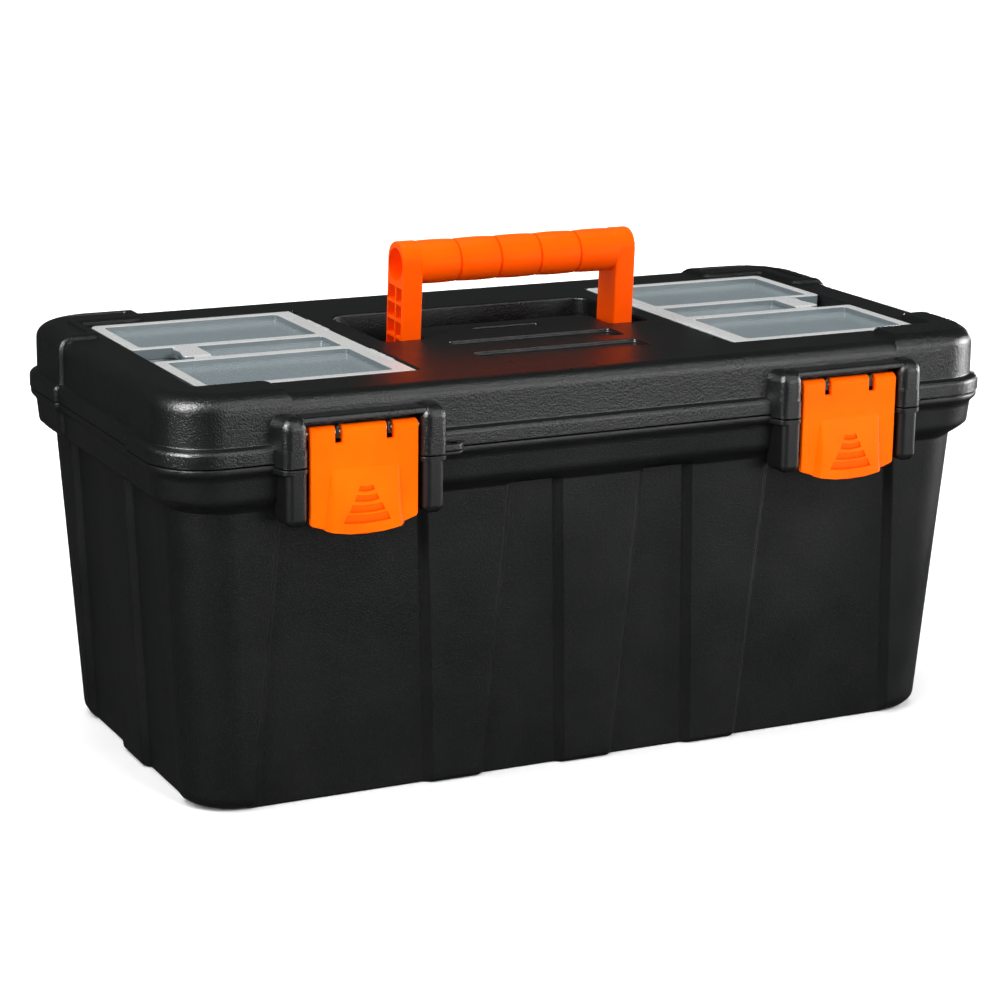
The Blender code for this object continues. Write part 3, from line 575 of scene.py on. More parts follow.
# Middle of each rib's or column's flank along its wall: (at the base, at the collar), and which way it drops
FRONT_FLANKS = [
    ((RIB_AT_BASE, RIB_AT_COLLAR), 1),
    ((RIB_PITCH - RIB_AT_BASE, RIB_PITCH - RIB_AT_COLLAR), -1),
    ((RIB_PITCH + RIB_AT_BASE, RIB_PITCH + RIB_AT_COLLAR), 1),
    ((221 * MM, 208 * MM), -1),
]
SIDE_FLANKS = [((19.5 * MM, RIB_AT_COLLAR), 1), ((82.5 * MM, 72.5 * MM), -1)]


def wall_columns(flanks):
    """(place at the base, at the collar, share of the panel's depth, foot radius) along one wall."""
    half = []
    for (base, top), drop in flanks:
        at_column = base > 0.75 * flanks[-1][0][0]
        foot_outside = COLUMN_FOOT if at_column else RIB_FOOT
        for step in range(FLANK_STEPS + 1):
            share = step / FLANK_STEPS
            along = FLANK_WIDTH * (share - 0.5)
            depth = smooth(share if drop > 0 else 1 - share)
            foot = foot_outside * (1 - depth) + PANEL_FOOT * depth
            half.append((base + along, top + along, depth, foot))
    return [(-base, -top, depth, foot) for base, top, depth, foot in reversed(half)] + half


FRONT_COLUMNS = wall_columns(FRONT_FLANKS)
SIDE_COLUMNS = wall_columns(SIDE_FLANKS)
CAP_COLUMNS = sorted(SIDE_COLUMNS + [(y, y, 1.0, PANEL_FOOT) for y in cap_places()])


def tub_ring(z, inset_of, relief, foot_angle=None, capped=0):
    """One ring round the tub. relief scales the panels' depth. A foot angle bends it in under the foot."""
    points = []
    walls = ((0, -1, FRONT_COLUMNS), (1, 0, CAP_COLUMNS), (0, 1, FRONT_COLUMNS), (-1, 0, CAP_COLUMNS[::-1]))

    def level(foot):
        if foot_angle is None:
            return z, inset_of(z)
        height = foot * (1 - math.cos(foot_angle))
        return height, inset_of(height) + foot * (1 - math.sin(foot_angle))

    for number, (dx, dy, columns) in enumerate(walls):
        for base, top, depth, foot in columns:
            height, inset = level(foot)
            along = base + (top - base) * min(height / WALL_TOP_Z, 1)
            inset += relief * depth * PANEL_DEPTH
            if dx:
                points.append((dx * (RIM_X - inset + capped * cap_stand(along)), along, height))
            else:
                points.append((-dy * along, dy * (RIM_Y - inset), height))
        height, inset = level(CORNER_FOOT)
        radius = RIM_RADIUS - RADIUS_LOSS * min(inset, INNER_CORNER_INSET)
        cx = RIM_X - inset - radius + capped * CAP_STAND
        cy = RIM_Y - inset - radius
        sx, sy = ((1, -1), (1, 1), (-1, 1), (-1, -1))[number]
        for step in range(CORNER_STEPS + 1):
            angle = math.radians(90 * (number - 1 + step / CORNER_STEPS))
            x, y = sx * cx + radius * math.cos(angle), sy * cy + radius * math.sin(angle)
            points.append((x, y, height))
    return points


# The collar, the rim's lip and the ledge inside: (inset, height) in mm, and the share of the caps' stand
COLLAR = (
    (10.9, 187.5, 0), (7.6, 190.9, 0.6), (6.2, 192.3, 0.6), (5.3, 193.4, 0.6), (4.7, 194.6, 1),
    (4.4, 196.0, 1), (4.2, 198.0, 1), (3.5, 206.6, 1), (3.2, 208.4, 1), (2.4, 209.8, 1), (1.3, 211.0, 1),
    (0.7, 212.0, 1), (0.5, 213.0, 1), (0.5, 214.6, 1), (0.8, 215.1, 1), (1.4, 215.3, 1), (6.6, 215.3, 0),
    (7.6, 215.1, 0), (8.1, 214.6, 0), (10.0, 194.9, 0), (10.2, 194.5, 0), (19.0, 194.5, 0),
)
# The inside, from the ledge down to the floor: (height, how much deeper than the wall's face) in mm
TUB_INSIDE = ((193.8, 7.0), (8.0, 7.0), (4.6, 8.0), (3.2, 10.5), (3.0, 13.0))


def tub_wall_rings():
    rings = []
    for step in range(FOOT_STEPS + 1):
        rings.append(tub_ring(0, wall_inset, 1, math.pi / 2 * step / FOOT_STEPS))
    for height in (12, 50, 95, 140, 183):
        rings.append(tub_ring(height * MM, wall_inset, 1))
    rings.append(tub_ring(PANEL_TOP_Z - 0.8 * MM, wall_inset, 1))
    rings.append(tub_ring(PANEL_TOP_Z, wall_inset, 1))
    for inset, height, capped in COLLAR:
        rings.append(tub_ring(height * MM, lambda z, inset=inset * MM: inset, 0, capped=capped))
    for height, deeper in TUB_INSIDE:
        rings.append(tub_ring(height * MM, lambda z, deeper=deeper * MM: wall_inset(z) + deeper, 0))
    return rings


def guard_corners(side, offset, half, back, front_radius, flare):
    """A guard post seen from above: its side away from the latch leans out towards the wall."""
    x = side * LATCH_X + offset
    away = 1 if offset > 0 else -1
    lean_out = flare * (back - GUARD_Y) / GUARD_DEPTH
    return [
        (x - away * half, GUARD_Y, front_radius), (x + away * half, GUARD_Y, front_radius),
        (x + away * (half + lean_out), back, 0.2 * MM), (x - away * half, back, 0.2 * MM),
    ]


def guard_posts(profile, half, back, front_radius=5 * MM, flare=4.5 * MM):
    shape = (half, back, front_radius, flare)
    return stacks([guard_corners(side, offset, *shape) for side, offset in GUARDS], profile, steps=8)


def guard_roots():
    """Blocks that carry the tub's guard posts, between them and the wall."""
    middles = [side * LATCH_X + offset for side, offset in GUARDS]
    half = 4.8 * MM
    outlines = [box_corners(x - half, x + half, -144 * MM, -123.5 * MM, 0.5 * MM) for x in middles]
    return stacks(outlines, rounded_edges(181.5 * MM, 192 * MM, 2 * MM, 0, 3), steps=2)


def latch_strikes():
    """The ledges behind the latches that they snap over."""
    half, front, back = 14 * MM, FACE_Y + 3.3 * MM, -134 * MM
    outlines = [box_corners(x - half, x + half, front, back, 1 * MM) for x in (-LATCH_X, LATCH_X)]
    return stacks(outlines, rounded_edges(192 * MM, 204 * MM, 3 * MM, 3 * MM, 4), steps=3)


def eye_corners():
    """The padlock tab seen from above, from inside the guard post to its round free corner."""
    inner, outer = -118 * MM, -99.5 * MM
    back = -RIM_Y + 4 * MM
    front = GUARD_Y + 1 * MM
    return [(inner, back, 0), (inner, front, 0), (outer, front, 9 * MM), (outer, back, 0.5 * MM)]


def eye_hole():
    bm = bmesh.new()
    add_rod(bm, (EYE_X, EYE_Y, 205 * MM), (EYE_X, EYE_Y, 230 * MM), EYE_HOLE)
    return bm


def hinge_knuckles(spans):
    ends = [(middle + start, middle + end) for middle in (-HINGE_X, HINGE_X) for start, end in spans]
    return rods_x(*[(x0, x1, HINGE_AXIS, KNUCKLE_RADIUS, 32, 0.4 * MM) for x0, x1 in ends])


def hinge_brackets(spans, low, high):
    """The blocks that tie the knuckles to the rim."""
    bm = bmesh.new()
    shy = 0.2 * MM
    for side in SIDES:
        for start, end in spans:
            x0 = side * HINGE_X + start + shy
            x1 = side * HINGE_X + end - shy
            corners = box_corners(x0, x1, BRACKET_ROOT_Y, HINGE_AXIS.y, 0.3 * MM)
            add_stack(bm, corners, rounded_edges(low, high, 0.4 * MM, 0.4 * MM, 2), steps=2)
    return bm


def hinge_bores():
    reach = 30 * MM
    return rods_x(*[(x - reach, x + reach, HINGE_AXIS, 2.15 * MM) for x in (-HINGE_X, HINGE_X)])


def make_tub():
    lower_posts = rounded_edges(179.5 * MM, GUARD_SPLIT_Z - 1 * MM, 5 * MM, 0, 6)
    upper_posts = rounded_edges(GUARD_SPLIT_Z - 3.6 * MM, GUARD_SPLIT_Z - SEAM, 0.8 * MM, 0.4 * MM, 6)
    tub = new_object("tub_moulding", lofted(tub_wall_rings()))
    join(tub, guard_posts(lower_posts, 6.4 * MM, -133.5 * MM, 4.2 * MM, 0.5 * MM))
    join(tub, guard_posts(upper_posts, 7.4 * MM, -137 * MM))
    join(tub, guard_roots())
    join(tub, latch_strikes())
    join(tub, stack(eye_corners(), rounded_edges(213.3 * MM, SPLIT_Z - SEAM, 0.6 * MM, 0.4 * MM, 3)))
    cut(tub, eye_hole())
    join(tub, hinge_knuckles(OUTER_SPANS))
    join(tub, hinge_brackets(OUTER_SPANS, HINGE_AXIS.z - KNUCKLE_RADIUS, SPLIT_Z - SEAM))
    cut(tub, hinge_bores())
    finish_piece(tub, "tub", "tub", "tub_plastic", TUB_BLACK)


# ---- tray

# The tray's shell, up its outside and down its inside: (inset, height) in mm
TRAY_SHELL = (
    (34.0, 150.0), (31.6, 150.3), (29.6, 151.4), (28.4, 153.2), (23.7, 194.4), (23.2, 194.8), (11.6, 194.8),
    (11.2, 195.2), (11.2, 197.1), (11.6, 197.5), (24.4, 197.5), (25.2, 197.2), (25.6, 196.4), (30.0, 155.5),
    (31.0, 153.6), (33.0, 152.6), (35.0, 152.5),
)
TRAY_FLOOR_Z = 151 * MM


def hand_hole():
    """The hole through the tray's grip, flared at both faces."""
    corners = mm((-50, 175, 10), (50, 175, 10), (50, 204, 10), (-50, 204, 10))
    near_face = ((3, -20), (3, -6), (1, -5), (0, -3))
    far_face = [(offset, -height) for offset, height in reversed(near_face)]
    return stack(corners, mm(*near_face, *far_face), FACING_FRONT, 8)


def make_tray():
    tray = new_object("tray_moulding", lofted([section(inset, z) for inset, z in mm(*TRAY_SHELL)]))
    divider = box_corners(-253.5 * MM, 253.5 * MM, -1.5 * MM, 1.5 * MM, 0.2 * MM)
    join(tray, stack(divider, rounded_edges(TRAY_FLOOR_Z, 196.5 * MM, 0, 0.8 * MM, 3), steps=2))
    half, top = 75 * MM, 213 * MM
    grip = [(-half, TRAY_FLOOR_Z, 0), (half, TRAY_FLOOR_Z, 0), (half, top, 14 * MM), (-half, top, 14 * MM)]
    join(tray, stack(grip, rounded_edges(-6 * MM, 6 * MM, 2 * MM, 2 * MM, 4), FACING_FRONT, 8))
    cut(tray, hand_hole())
    finish_piece(tray, "tub", "tray", "tray_plastic", TRAY_BLACK)


# ---- lid

def organizer_hole(side, grow):
    x0, x1, y = side * (ORG_IN - grow), side * (ORG_OUT + grow), ORG_Y + grow
    radius = 5 * MM + grow
    return [(x0, -y, 1 * MM), (x1, -y, radius), (x1, y, radius), (x0, y, 1 * MM)]


def recess_corners(grow):
    """The handle's recess seen from above: a channel for each arm and a well behind the platform."""
    outer, inner = RECESS_X + grow, PLATFORM_X - grow
    front, step, back = RECESS_FRONT_Y - grow, PLATFORM_BACK_Y - grow, RECESS_BACK_Y + grow
    return [
        (-outer, front, 3 * MM), (-inner, front, 3 * MM), (-inner, step, 10 * MM), (inner, step, 10 * MM),
        (inner, front, 3 * MM), (outer, front, 3 * MM), (outer, back, 12 * MM), (-outer, back, 12 * MM),
    ]


def pad_corners(sx, sy):
    """A corner pad's L, its outer sides left long: the cap's hull trims them."""
    end_y = CAP_BACK_Y if sy > 0 else -CAP_FRONT_Y
    corners = [
        (207.5 * MM, 160 * MM, 0), (300 * MM, 160 * MM, 0), (300 * MM, end_y, 0),
        (252 * MM, end_y, 4 * MM), (252 * MM, 105 * MM, 4 * MM), (207.5 * MM, 105 * MM, 5 * MM),
    ]
    return [(sx * x, sy * y, radius) for x, y, radius in corners]


def pad_groove_corners(side):
    """The shallow L pressed into each of the two rear pads."""
    corners = mm(
        (212.5, 125.5, 2.5), (263, 125.5, 10), (263, 67, 2),
        (257, 67, 2), (257, 111.5, 3), (212.5, 111.5, 2.5))
    return [(side * x, y, radius) for x, y, radius in corners]


def roof_angles():
    return [math.radians(90 * step / ROOF_STEPS) for step in range(1, ROOF_STEPS + 1)]


def cap_hull():
    """The lid's outer surface raised to the pads' level."""
    inset, across, down = LID_INSET + 0.05 * MM, 10 * MM, 9.5 * MM
    rings = [section(inset, 238 * MM, True), section(inset, PAD_Z - down, True)]
    for angle in roof_angles():
        z = PAD_Z + down * (math.sin(angle) - 1)
        rings.append(section(inset + across * (1 - math.cos(angle)), z, True))
    return rings


def lid_shell():
    """The lid's outside: the lip over the tub's rim, the side wall and the round edge of the deck."""
    profile = mm(
        (0.5, 215.9), (0.0, 216.5), (0.0, 222.9), (0.2, 224.1), (0.8, 225.2), (1.8, 226.0), (3.0, 226.4),
        (3.7, 226.7), (4.0, 227.4), (4.0, 245.0))
    rings = [section(inset, z, True) for inset, z in profile]
    for angle in roof_angles():
        inset = LID_INSET + ROOF_ROUND * (1 - math.cos(angle))
        rings.append(section(inset, DECK_Z + ROOF_ROUND * (math.sin(angle) - 1), True))
    return rings


def lid_hollow():
    profile = mm((6.5, 215.0), (7.0, 245.0), (8.0, 248.5), (10.0, 250.2), (13.0, 250.8))
    return [section(inset, z) for inset, z in profile]


# A pad's flank from below the deck up to its top: (offset, height over the pad's top) in mm
PAD_FLANK = (
    (3.4, -14.0), (3.4, -4.2), (3.0, -3.6), (1.9, -2.5), (1.2, -1.4), (0.4, -0.5), (-0.8, -0.05), (-2.4, 0.0),
    (-2.5, 2.0),
)


def make_pads():
    profile = [(offset, PAD_Z + height) for offset, height in mm(*PAD_FLANK)]
    pads = new_object("pads", stacks([pad_corners(sx, sy) for sx in SIDES for sy in SIDES], profile, steps=8))
    combine(pads, new_object("hull", lofted(cap_hull())), "INTERSECT")
    groove = sunk(PAD_Z - 1 * MM, PAD_Z, 0.4 * MM, 0.5 * MM, 3)
    cut(pads, stacks([pad_groove_corners(side) for side in SIDES], groove, steps=5))
    return pads


def platform_backing():
    """Under the deck: a plate that backs the slots, and a boss for each of the handle's pins."""
    bm = bmesh.new()
    plate = box_corners(-60 * MM, 60 * MM, -90 * MM, -26 * MM, 3 * MM)
    add_stack(bm, plate, [(0, 248.5 * MM), (0, 252 * MM)], steps=3)
    half = 7 * MM
    for side in SIDES:
        x0, x1 = span(side, 57.5 * MM, 64.4 * MM)
        corners = box_corners(x0, x1, PIVOT.y - half, PIVOT.y + half, 1 * MM)
        add_stack(bm, corners, rounded_edges(PIVOT.z - half, PIVOT.z + half, 1 * MM, 1 * MM, 2), steps=2)
    return bm


def deck_slots():
    """Two long slots before the handle and a short shallow one on the platform."""
    bm = bmesh.new()
    long_slot = sunk(DECK_Z - 2.6 * MM, DECK_Z, 0.9 * MM, 0.9 * MM, 4)
    short_slot = sunk(DECK_Z - 1 * MM, DECK_Z, 0.4 * MM, 0.4 * MM, 3)
    for y0, y1 in ((-86.5, -65.5), (-52.0, -29.5)):
        add_stack(bm, box_corners(-56.5 * MM, 56.5 * MM, y0 * MM, y1 * MM, 3 * MM), long_slot, steps=5)
    add_stack(bm, box_corners(-24 * MM, 22 * MM, -5 * MM, 4 * MM, 2.5 * MM), short_slot, steps=4)
    return bm


def latch_lintels():
    """The bars over the latches, from guard post to guard post."""
    half, front, back = 38.5 * MM, GUARD_Y + 3 * MM, -134.5 * MM
    outlines = [box_corners(x - half, x + half, front, back, 0.5 * MM) for x in (-LATCH_X, LATCH_X)]
    return stacks(outlines, rounded_edges(239.4 * MM, 242.9 * MM, 0.5 * MM, 1.8 * MM, 4), steps=2)


def latch_tongues():
    """Thin tongues that hold each latch's pin in the latch's two notches."""
    middles = [side * LATCH_X + offset for side in SIDES for offset in (-NOTCH_OFFSET, NOTCH_OFFSET)]
    half = 1.2 * MM
    outlines = [box_corners(x - half, x + half, -146.1 * MM, -134.5 * MM, 0.4 * MM) for x in middles]
    return stacks(outlines, rounded_edges(228.7 * MM, 235.9 * MM, 0.5 * MM, 0.5 * MM, 2), steps=2)


def lid_pin_bores():
    """Bores for the latches' and the handle's pins."""
    bm = bmesh.new()
    for side in SIDES:
        x = side * LATCH_X
        add_rod_x(bm, x - 38.2 * MM, x + 38.2 * MM, LATCH_AXIS, LATCH_BORE, 20)
        add_rod_x(bm, side * 59 * MM, side * 67.5 * MM, PIVOT, HANDLE_BORE, 24)
    return bm


def make_lid():
    lid = new_object("lid_moulding", lofted(lid_shell()))
    cut(lid, lofted(lid_hollow()))
    well = rounded_edges(WELL_Z - WELL_FLOOR, UNDER_DECK_Z, 1.5 * MM, 0)
    for side in SIDES:
        join(lid, stack(organizer_hole(side, 2.7 * MM), well, steps=4))
    join(lid, stack(recess_corners(2 * MM), rounded_edges(WELL_Z - WELL_FLOOR, UNDER_DECK_Z, 1 * MM, 0)))
    join(lid, platform_backing())
    combine(lid, make_pads(), "UNION")
    for side in SIDES:
        cut(lid, stack(organizer_hole(side, 0.7 * MM), sunk(WELL_Z, DECK_Z, 1 * MM, 0.6 * MM, 3), steps=5))
    cut(lid, stack(recess_corners(0), sunk(WELL_Z, DECK_Z, 1.5 * MM, 1.6 * MM, 5), steps=8))
    cut(lid, deck_slots())
    posts = rounded_edges(SPLIT_Z + SEAM, 243.8 * MM, 0, 7.4 * MM, 6)
    post_feet = rounded_edges(GUARD_SPLIT_Z + SEAM, 225 * MM, 0.6 * MM, 0, 6)
    join(lid, guard_posts(posts, GUARD_HALF, -134.5 * MM, 6.2 * MM))
    join(lid, guard_posts(post_feet, GUARD_HALF, -142 * MM))
    join(lid, latch_lintels())
    join(lid, latch_tongues())
    join(lid, stack(eye_corners(), rounded_edges(SPLIT_Z + SEAM, 219.6 * MM, 0.4 * MM, 0.6 * MM, 3)))
    cut(lid, eye_hole())
    join(lid, hinge_knuckles(MIDDLE_SPANS))
    join(lid, hinge_brackets(MIDDLE_SPANS, SPLIT_Z + SEAM, HINGE_AXIS.z + KNUCKLE_RADIUS))
    cut(lid, hinge_bores())
    cut(lid, lid_pin_bores())
    finish_piece(lid, "lid", "lid", "lid_plastic", LID_BLACK)


# ---- handle

def arm_corners():
    low, high = PIVOT.z - ARM_HALF, HANDLE_HIGH.z
    return [
        (PIVOT.y - ARM_HALF, low, ARM_HALF - 0.1 * MM), (PIVOT.y + ARM_HALF, low, ARM_HALF - 0.1 * MM),
        (PIVOT.y + ARM_HALF, high, 11.5 * MM), (PIVOT.y - ARM_HALF, high, 11.5 * MM),
    ]


def handle_arms():
    bm = bmesh.new()
    for side in SIDES:
        x0, x1 = span(side, ARM_IN, ARM_OUT)
        add_stack(bm, arm_corners(), rounded_edges(x0, x1, 1.4 * MM, 1.4 * MM, 4), ALONG_X, 12)
    return bm


def grip_profile():
    """The grip's outline: five slightly swollen lengths parted by narrow grooves."""
    length = 2 * ARM_IN
    pitch = length / GRIP_LENGTHS
    count = 160
    near_grooves = (-1.3, -0.9, -0.6, -0.4, -0.2, 0, 0.2, 0.4, 0.6, 0.9, 1.3)
    even = {i / count for i in range(count + 1)}
    fine = {(k * pitch + d * MM) / length for k in range(1, GRIP_LENGTHS) for d in near_grooves}
    profile = []
    for share in sorted(even | fine):
        along = share * length
        near = abs(along - round(along / pitch) * pitch)
        swell = GRIP_SWELL * abs(math.sin(math.pi * along / pitch)) ** 0.6
        groove = GROOVE_DEPTH * math.exp(-(near / GROOVE_WIDTH) ** 2)
        profile.append((share, GRIP_RADIUS - GRIP_SWELL + swell - groove))
    return profile


def handle_grip():
    bm = bmesh.new()
    end = ARM_IN + 2 * MM
    add_turned(bm, (-end, PIVOT.y, GRIP_Z), (end, PIVOT.y, GRIP_Z), grip_profile(), 64)
    return bm


def grip_end_hollows():
    axis = Vector((0, PIVOT.y, GRIP_Z - 0.6 * MM))
    return rods_x(*[(*span(side, 72.5 * MM, 95 * MM), axis, 10.4 * MM, 48) for side in SIDES])


def arm_pockets():
    """Two rows of pockets in each arm's outer face, slightly narrower at their floors."""
    bm = bmesh.new()
    for side in SIDES:
        profile = [(offset, x) for x, offset in sorted(((side * 73.5 * MM, -0.3 * MM), (side * 95 * MM, 0)))]
        for row in range(4):
            low = POCKET_LOW_Z + POCKET_PITCH * row
            for y0, y1 in ((-13.3, -5.0), (-3.6, 7.3)):
                corners = box_corners(y0 * MM, y1 * MM, low, low + POCKET_HEIGHT, 0.8 * MM)
                add_stack(bm, corners, profile, ALONG_X, 3)
    return bm


def handle_bores():
    return rods_x(*[(*span(side, 67 * MM, 80 * MM), PIVOT, HANDLE_BORE, 24) for side in SIDES])


def lean(obj):
    """Tips the handle forwards on its pins until its arms near the recess's front wall."""
    tip = Matrix.Rotation(math.radians(HANDLE_LEAN_DEGREES), 4, "X")
    obj.data.transform(Matrix.Translation(PIVOT) @ tip @ Matrix.Translation(-PIVOT))


def make_handle():
    handle = new_object("handle_moulding", handle_arms())
    join(handle, handle_grip())
    cut(handle, grip_end_hollows())
    cut(handle, arm_pockets())
    cut(handle, handle_bores())
    lean(handle)
    finish_piece(handle, "handle", "handle", "orange_plastic", ORANGE_HANDLE_SHADE)


# ---- latches

def panel_front(z):
    """The raised panel swells out of the latch's face as it goes down."""
    share = max(0.0, min(1.0, (LATCH_PANEL_TOP_Z - z) / LATCH_PANEL_REACH))
    return FACE_Y - LATCH_PANEL_SWELL * math.sin(math.pi / 2 * share)


def latch_panel(x):
    """The raised centre panel: its flanks slope, it widens downwards, and it ends in a shallow curve."""
    rings = []
    back = FACE_Y + 0.5 * MM
    root = FACE_Y + 2 * MM
    for level in range(LATCH_PANEL_LEVELS + 1):
        share = level / LATCH_PANEL_LEVELS
        z = LATCH_PANEL_LOW_Z + (LATCH_PANEL_TOP_Z - LATCH_PANEL_LOW_Z) * share
        front = panel_front(z)
        outer = (24.8 - 3.0 * share) * MM
        inner = outer - 0.8 * (FACE_Y - front) - 0.6 * MM
        flank = [
            (outer, back), (outer - 0.3 * MM, back + 0.2 * (front - back)),
            (inner + 0.7 * MM, front + 0.5 * MM), (inner, front + 0.1 * MM),
            (inner - 1 * MM, front), (inner / 2, front),
        ]
        across_face = [(-across, y) for across, y in flank] + [(0, front)] + flank[::-1]
        curve = LATCH_PANEL_CURVE * (1 - share)
        ring = [(x + across, y, z + curve * (across / outer) ** 2) for across, y in across_face]
        rings.append(ring + [(x + outer, root, z + curve), (x - outer, root, z + curve)])
    return lofted(rings)


# The grip strips, from the top: (top, height, width along the top, width along the foot) in mm
STRIPS = (
    (200.9, 3.0, 8.0, 10.5), (195.8, 3.7, 12.5, 15.5), (190.2, 4.4, 18.5, 22.5), (184.6, 5.0, 25.0, 29.5),
)


def add_strip(bm, x, top, low, half_top, half_low):
    """A cutter for one grip strip: nearly flush along its upper edge, deepest along its curved lower edge."""
    rings = []
    front = -153 * MM
    shallow = panel_front(top) + 0.5 * MM
    deep = panel_front(low) + 1.3 * MM
    for share in (-1.0, -0.66, -0.33, 0.0, 0.33, 0.66, 1.0):
        sag = 0.9 * MM * (1 - share * share)
        rings.append([
            (x + share * half_top, front, top - sag), (x + share * half_low, front, low - sag),
            (x + share * half_low, deep, low - sag), (x + share * half_top, shallow, top - sag),
        ])
    add_rings(bm, rings)


def latch_strips(x):
    bm = bmesh.new()
    for top, height, wide_top, wide_low in STRIPS:
        add_strip(bm, x, top * MM, (top - height) * MM, wide_top * MM / 2, wide_low * MM / 2)
    return bm


def latch_plate(x):
    """The latch's plate, rounded in front, with a slightly dropped middle along its lower edge."""
    shoulder, drop = LATCH_LOW_Z + 1.5 * MM, LATCH_LOW_Z - 2.2 * MM
    corners = [
        (x - LATCH_HALF, shoulder, 2.5 * MM), (x - 22 * MM, drop, 0.5 * MM), (x + 22 * MM, drop, 0.5 * MM),
        (x + LATCH_HALF, shoulder, 2.5 * MM), (x + LATCH_HALF, LATCH_AXIS.z, 0.3 * MM),
        (x - LATCH_HALF, LATCH_AXIS.z, 0.3 * MM),
    ]
    return stack(corners, rounded_edges(-FACE_Y - 3 * MM, -FACE_Y, 0.4 * MM, 1.1 * MM, 4), FACING_FRONT, 5)


def latch_notches(x):
    """The two notches in the latch's top edge, with a round lip at its face."""
    flare = mm((0.5, -11.0), (0, -9.0), (0, -0.9), (0.25, -0.3), (1.0, 0.2))
    profile = [(offset, -FACE_Y + height) for offset, height in flare]
    half, low, high = 2.2 * MM, 226.3 * MM, 245 * MM
    middles = (x - NOTCH_OFFSET, x + NOTCH_OFFSET)
    outlines = [box_corners(middle - half, middle + half, low, high, 0.8 * MM) for middle in middles]
    return stacks(outlines, profile, FACING_FRONT, 3)


# Puts the darker orange copy on the strips' floors: painted shade in the recesses.
def shade_strip_floors(latch, x):
    for face in latch.data.polygons:
        here = face.center
        on_strips = abs(here.x - x) < 16 * MM and 178 * MM < here.z < 202 * MM
        if on_strips and panel_front(here.z) + 0.2 * MM < here.y < -146 * MM:
            face.material_index = 1


def make_latch(side, word):
    x = side * LATCH_X
    latch = new_object("latch_moulding_" + word, latch_plate(x))
    join(latch, rods_x((x - LATCH_HALF, x + LATCH_HALF, LATCH_AXIS, 4.2 * MM, 40, 0.8 * MM)))
    join(latch, latch_panel(x))
    cut(latch, latch_notches(x))
    cut(latch, latch_strips(x))
    cut(latch, rods_x((x - 40 * MM, x + 40 * MM, LATCH_AXIS, LATCH_BORE, 20)))
    finish_piece(latch, "latch_" + word, "latch_" + word, "orange_plastic", ORANGE, ORANGE_STRIP_SHADE)
    shade_strip_floors(latch, x)


# ---- organizers

def cover_corners(side):
    corners = [
        (COVER_HINGE_X, -ORG_Y, 0.3 * MM), (ORG_OUT, -ORG_Y, 5 * MM), (ORG_OUT, -NOTCH_Y, 2.5 * MM),
        (NOTCH_IN, -NOTCH_Y, 3 * MM), (NOTCH_IN, NOTCH_Y, 3 * MM), (ORG_OUT, NOTCH_Y, 2.5 * MM),
        (ORG_OUT, ORG_Y, 5 * MM), (COVER_HINGE_X, ORG_Y, 0.3 * MM),
    ]
    return [(side * x, y, radius) for x, y, radius in corners]


def pane_boxes(side):
    wide = span(side, PANE_IN, PANE_OUT)
    middle = span(side, PANE_IN, MIDDLE_PANE_OUT)
    return [
        box_corners(*wide, PANE_NEAR_Y, PANE_FAR_Y, 3 * MM),
        box_corners(*wide, -PANE_FAR_Y, -PANE_NEAR_Y, 3 * MM),
        box_corners(*middle, -MIDDLE_PANE_Y, MIDDLE_PANE_Y, 3 * MM),
    ]


def cover_hollow(side):
    """What is missing under the cover's rim: all but the panes and the strip along the hinge."""
    profile = [(-1.6 * MM, 246 * MM), (-1.8 * MM, 252.2 * MM)]
    hollow = new_object("hollow", stack(cover_corners(side), profile))
    for corners in pane_boxes(side):
        cut(hollow, stack(corners, [(1.1 * MM, 240 * MM), (1.2 * MM, 254 * MM)]))
    strip = box_corners(*span(side, ORG_IN - 1 * MM, ORG_IN + 8 * MM), -110 * MM, 110 * MM, 0.1 * MM)
    cut(hollow, stack(strip, [(0, 240 * MM), (0, 256 * MM)], steps=2))
    return hollow


def cover_hinge_rod(side):
    bm = bmesh.new()
    x, y = side * COVER_HINGE_X, ORG_Y - 0.2 * MM
    add_rod(bm, (x, -y, COVER_HINGE_Z), (x, y, COVER_HINGE_Z), 3.5 * MM, 32, 0.3 * MM)
    return bm


def cover_hinge_bumps(side):
    """The six snap bearings, which stand slightly proud of the rod."""
    bm = bmesh.new()
    x, z = side * COVER_HINGE_X, COVER_HINGE_Z + 0.35 * MM
    for middle in (-62, -50, -38, 38, 50, 62):
        y0, y1 = middle * MM - BUMP_HALF, middle * MM + BUMP_HALF
        add_rod(bm, (x, y0, z), (x, y1, z), 3.7 * MM, 32, 0.4 * MM)
    return bm


def cover_catch(side):
    """The snap wall that hangs down beside the finger notch."""
    corners = box_corners(*span(side, 216.4 * MM, 217.8 * MM), -15 * MM, 15 * MM, 0.4 * MM)
    return stack(corners, rounded_edges(240 * MM, 253 * MM, 0.5 * MM, 0, 2), steps=2)


def cover_tongue(side):
    """The finger tongue over the notch, with a wavy free edge."""
    corners = mm((206, -13.5, 1), (224.5, -15, 2.5), (221, 2, 4), (222.5, 12, 2.5), (206, 15, 1))
    mirrored = [(side * x, y, radius) for x, y, radius in corners]
    return stack(mirrored, rounded_edges(251.6 * MM, DECK_Z + 0.7 * MM, 0.3 * MM, 0.7 * MM, 3), steps=5)


def colour_panes(cover):
    for face in cover.data.polygons:
        if face.center.z < DECK_Z - 0.45 * MM:
            face.material_index = 1


